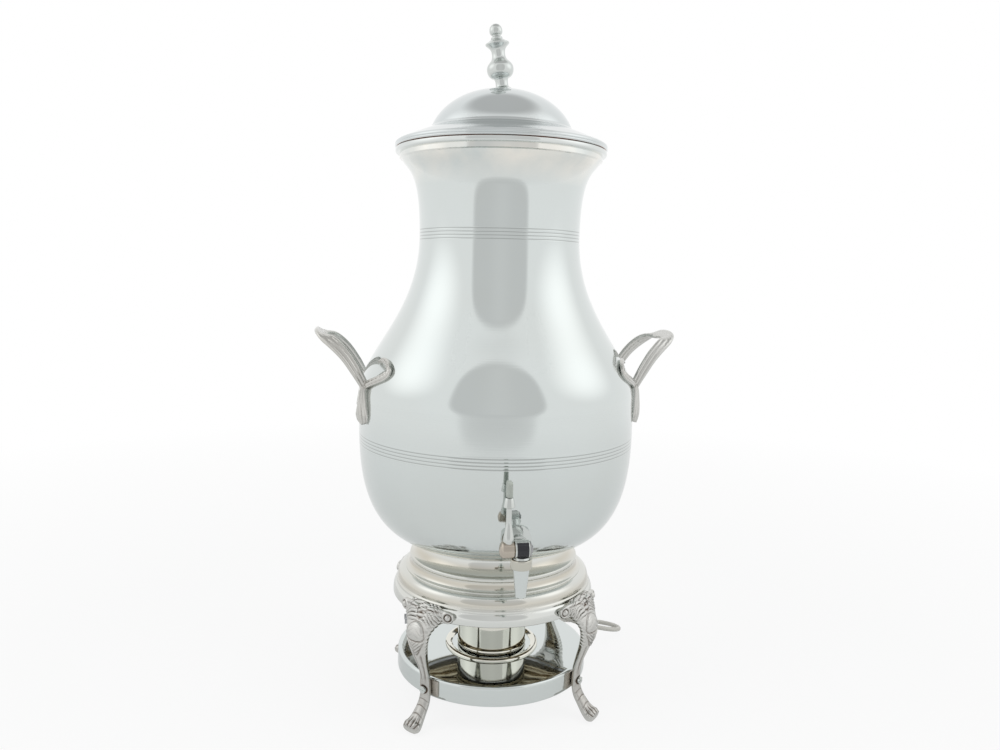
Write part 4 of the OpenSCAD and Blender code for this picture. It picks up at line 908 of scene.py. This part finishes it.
def armRelief(share, across):
    # slanting feather strokes near the tip, long flutes nearer the roots, a raised rib along both edges
    side = np.abs(across)
    middle, inside = bump(share, 0.5, 0.19), side < 0.86
    flute, strokes = np.cos(across * math.pi * 3), ridges(share * 34 - side * 1.6)
    add = (1 - middle) * 0.42 * flute + middle * (0.5 * strokes ** 0.6 - 0.25) * inside
    dark = (1 - middle) * 0.4 * np.clip(-flute * 2 - 1, 0, 1) + middle * 0.42 * cuts(strokes, 2.6) * inside
    return add + 0.3 * bump(side, 0.92, 0.1), 0.7 * dark + 0.25 * step(np.abs(share - 0.5), 0.455, 0.012)


def palmetteRelief(share, across):
    # a fan of ridges that spread from the root, the cosine across, parted by fine dark cuts
    fan = np.cos(across * math.pi * 4)
    add = (0.6 * fan - 0.1) * (0.2 + share) + 0.5 * bump(across, 0, 0.14)
    dark = np.clip(-fan * 2.5 - 1.5, 0, 1) * 0.4 * np.clip(0.3 + share, 0, 1)
    return add, dark + 0.25 * (1 - step(share, 0.14, 0.04))


def scrollRelief(share, across):
    # a groove along each side, the cosine across, and small notches
    notch = ridges(share * 16)
    dark = 0.3 * bump(np.abs(across), 0.5, 0.12) + 0.2 * cuts(notch, 3)
    return 0.35 * np.cos(across * math.pi * 2) - 0.25 * (1 - notch) ** 2, dark


def makeArm(v, turn, foot, out):
    # a loop of ribbon from root to root: its arms show their faces fore and aft, and its crosspiece lies in
    # the loop's plane
    w, rise, z, tip = v["half"], v["rise"], v["z"], v["tip"]
    half = [onBody(turn, -4, 0.5), onBody(turn, 0, 3.0), (foot + 0.28 * out, w, z + 0.32 * rise),
            (foot + 0.50 * out, w - 2, z + 0.60 * rise), (foot + 0.75 * out, w - 6, z + 0.82 * rise),
            (foot + 0.97 * out, w - 13, z + 0.95 * rise), (tip - 1.5, w - 23, z + rise)]
    n = 300
    path = through(half + [(tip - 0.5, 0, z + rise + 1)] + [(x, -y, h) for x, y, h in half[::-1]], n)
    share = np.linspace(0, 1, n)
    fromTip = np.abs(share - 0.5)
    wide = np.interp(fromTip, [0, 0.08, 0.16, 0.26, 0.36, 0.46, 0.5], [5.2, 5.6, 6.0, 5.8, 5.2, 3.8, 3.4])
    thick = np.interp(fromTip, [0, 0.12, 0.4, 0.5], [2.3, 2.2, 2.1, 2.8])
    lean = np.radians(np.interp(share, [0, 0.28, 0.42, 0.5, 0.58, 0.72, 1], [4, 16, 58, 90, 122, 164, 176]))
    level = np.array([-rise, 0, out]) / math.hypot(rise, out)
    facing = np.cos(lean)[:, None] * np.array([0, 1.0, 0]) + np.sin(lean)[:, None] * level
    return capped(swept(path, wide, thick, facing, 56, 0.8, relief=armRelief, bothFaces=True))


def makeRoot(v, turn, hand):
    # a notched scroll that lies on the body with a fluted leaf below it, the leaf's face swung outwards
    n, m = 130, 110
    mirror = np.array([1, hand, 1])
    curl = through([onBody(turn + a, h, o) for a, h, o in scrollRoute], n) * mirror
    narrow = np.interp(np.linspace(0, 1, n), [0, 0.1, 0.5, 0.85, 1], [2.8, 3.3, 3.4, 2.6, 0.9])
    scroll = capped(swept(curl, narrow, 2.0, curl * np.array([1, 1, 0]), 28, 0.75, relief=scrollRelief))
    fall = through([onBody(turn + a, h, o) for a, h, o in fallRoute], m) * mirror
    down = np.linspace(0, 1, m)
    spread = np.interp(down, [0, 0.2, 0.45, 0.70, 0.88, 0.96, 1], [3.4, 3.4, 6.6, 10.0, 9.0, 5.6, 1.6])
    spread = spread * (1 + 0.05 * ridges(down * 6))
    c, s = math.cos(math.radians(v["swing"])), math.sin(math.radians(v["swing"])) * hand
    facing = fall @ np.array([[c, s, 0], [-s, c, 0], [0, 0, 0]])
    thick = np.interp(down, [0, 0.5, 1], [3.0, 3.2, 1.8])
    return [scroll, capped(swept(fall, spread, thick, facing, 60, 0.9, relief=palmetteRelief))]


def makeHandle(side, turnBy, v):
    root = float(bodyRadius(v["z"]))
    turn = math.degrees(math.asin(v["half"] / root))
    shells = [makeArm(v, turn, math.sqrt(root ** 2 - v["half"] ** 2), v["tip"] - root)]
    shells += makeRoot(v, turn, 1) + makeRoot(v, turn, -1)
    placed = [(p * np.array([turnBy, turnBy, 1]), f, d) for p, f, d in shells]
    makePiece("leaf_handle_" + side, placed, "cast", "urn", ["handle_" + side], 60)


makeHandle("right", 1, handle)
makeHandle("left", -1, handle)
print("handles made")

# finishes of the solids that stay

kept = {
    "bright": ["lid_bead"], "lidPlate": ["lid_collar"], "castBright": ["tap_rosette", "leg_tray_screws"],
    "brass": ["finial_nut", "tap_plug", "tap_lock_nut", "well_nut", "can_nuts"],
    "alu": ["pump_tube", "pump_foot", "basket_rest", "basket", "basket_lid"],
    "steel": ["finial_stud", "plug_washer", "plug_screw", "pump_valve", "stand_ring", "leg_top_screws",
              "heater_well", "can_studs", "can_cover", "cover_screw", "heating_element", "plug_pins"],
    "rubber": ["inner_washer", "thermostat", "lead_tie"], "clip": ["tray_clips"],
    "grip": ["terminal_block"], "sleeve": ["inner_leads"],
}
for finish, nodes in kept.items():
    for node in nodes:
        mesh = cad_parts[node].data
        mesh.materials.clear()
        mesh.materials.append(finishes[finish])
print("kept solids finished")

# floor, studio cards and lamps, placed from the camera's side

studio = {"soft": 0.45, "white": 1.0, "floorHalf": 9, "floorColour": (0.86, 0.87, 0.87, 1),
          "floorRough": 0.9}
# how white each kind of ray sees the floor: share near the urn, distances where it starts and ends to grow
floorWhite = {"Is Camera Ray": (0.86, 0.5, 1.5), "Is Glossy Ray": (0.42, 0.4, 2.0),
              "Is Transmission Ray": (0.86, 0.5, 1.5)}
# cards that mirrors see: half sizes, brightness, share over which it fades, power of the outline, darker rim
# and brighter middle
cards = {"front": ((0.86, 0.90), 0.72, 0.17, 4.0, 0.16, 0.05), "side": ((1.15, 1.0), 1.40, 0.95, 2.0, 0, 0),
         "ceiling": ((1.5, 1.5), 0.62, 0.5, 2.0, 0, 0)}
lamps = {"side": (1.3, 9.0), "top": (1.5, 7.0), "aim": (0, 0, 0.3)}


def makeWorld(v):
    # white for rays from the camera, from a mirror-like surface or through glass; softer as a light
    world = bpy.data.worlds.new("studio")
    world.use_nodes = True
    tree = world.node_tree
    rays = addNode(tree, "LightPath").outputs
    seen = addMath(tree, "MAXIMUM", rays["Is Camera Ray"], rays["Is Glossy Ray"])
    seen = addMath(tree, "MAXIMUM", seen, rays["Is Transmission Ray"])
    soft, white = (addNode(tree, "Background", {"Color": (1, 1, 1, 1), "Strength": v[k]}).outputs[0]
                   for k in ("soft", "white"))
    feed(tree, tree.nodes["World Output"], "Surface", mixShaders(tree, seen, soft, white))
    scene.world = world


def makeFloor(v):
    # a wide pale sheet: near the urn part of its tone is left to the light, so the shadow stays; far off it
    # is white
    h = v["floorHalf"]
    mesh = bpy.data.meshes.new("floor")
    mesh.from_pydata([(-h, -h, 0), (h, -h, 0), (h, h, 0), (-h, h, 0)], [], [(0, 1, 2, 3)])
    floor = linked("floor", mesh)
    mat, tree, shader = nodeMaterial("pale_floor")
    shader.inputs["Base Color"].default_value = v["floorColour"]
    shader.inputs["Roughness"].default_value = v["floorRough"]
    where = addNode(tree, "TexCoord").outputs["Object"]
    far = addNode(tree, "VectorMath", {0: where}, operation="LENGTH").outputs["Value"]
    rays = addNode(tree, "LightPath").outputs
    share = 0.0
    for ray, (near, start, end) in floorWhite.items():
        grown = addMath(tree, "MULTIPLY", rays[ray], addRange(tree, far, start, end, near, 1))
        share = addMath(tree, "MAXIMUM", share, grown)
    glow = addNode(tree, "Emission").outputs[0]
    mixed = mixShaders(tree, share, shader.outputs[0], glow)
    feed(tree, tree.nodes["Material Output"], "Surface", mixed)
    mesh.materials.append(mat)


def makeCard(name, centre, towards, half, tone, fade, power, rimDark, middle):
    # a studio card whose strength falls off smoothly from the middle outwards, over the share "fade" of the
    # way, inside an outline that is rounder for smaller powers
    n = 64
    x, y = np.meshgrid(np.linspace(-1, 1, n), np.linspace(-1, 1, n), indexing="ij")
    face = Vector(towards).normalized()
    side = Vector((0, 0, 1)).cross(face).normalized() if abs(face.z) < 0.9 else Vector((1, 0, 0))
    up = face.cross(side)
    across, along = x[..., None] * half[0], y[..., None] * half[1]
    points = np.array(centre) + across * np.array(side) + along * np.array(up)
    mesh = bpy.data.meshes.new(name)
    mesh.from_pydata(points.reshape(-1, 3).tolist(), [], gridFaces(n, n, wrapCols=False).tolist())
    rho = (np.abs(x) ** power + np.abs(y) ** power) ** (1 / power)
    k = np.clip((1 - rho) / fade, 0, 1)
    level = tone * (1 - rimDark * bump(rho, 0.93, 0.025) + middle * bump(x, 0, 0.26) * (np.abs(y) < 0.8))
    for key, values in (("shown", k * k * (3 - 2 * k)), ("level", level)):
        share = mesh.attributes.new(key, "FLOAT", "POINT")
        share.data.foreach_set("value", values.astype(np.float32).ravel())
    card = linked(name, mesh)
    mat, tree, shader = nodeMaterial(name)
    glow = addNode(tree, "Emission", {"Strength": readShare(tree, "level")}).outputs[0]
    clear = addNode(tree, "BsdfTransparent").outputs[0]
    mixed = mixShaders(tree, readShare(tree, "shown"), clear, glow)
    feed(tree, tree.nodes["Material Output"], "Surface", mixed)
    mat.cycles.emission_sampling = "NONE"
    mesh.materials.append(mat)
    card.visible_camera = card.visible_diffuse = card.visible_shadow = card.visible_transmission = False


def addLamp(name, place, size, power):
    data = bpy.data.lights.new(name, "AREA")
    data.size = size
    data.energy = power
    lamp = linked(name, data)
    aim = Vector(lamps["aim"]) - place
    lamp.matrix_world = Matrix.Translation(place) @ aim.to_track_quat("-Z", "Y").to_matrix().to_4x4()
    lamp.visible_camera = lamp.visible_glossy = False


front = Vector((viewpoint["place"][0], viewpoint["place"][1], 0)).normalized()
sideways = Vector((-front.y, front.x, 0))     # to the right, seen from the camera


def studioPlace(ahead, right, high):
    return front * ahead + sideways * right + Vector((0, 0, high))


makeWorld(studio)
makeFloor(studio)
makeCard("front_card", studioPlace(1.05, 0.04, 0.92), -front, *cards["front"])
for name, hand in (("left", -1), ("right", 1)):
    place = studioPlace(0.1, 1.45 * hand, 1.25)
    makeCard(name + "_panel", place, Vector((0, 0, 0.35)) - place, *cards["side"])
    addLamp(name + "_lamp", studioPlace(0.6, 1.4 * hand, 1.5), *lamps["side"])
makeCard("ceiling_card", (0, 0, 2.3), (0, 0, -1), *cards["ceiling"])
addLamp("top_lamp", studioPlace(0.2, 0, 2.1), *lamps["top"])
print("studio made")
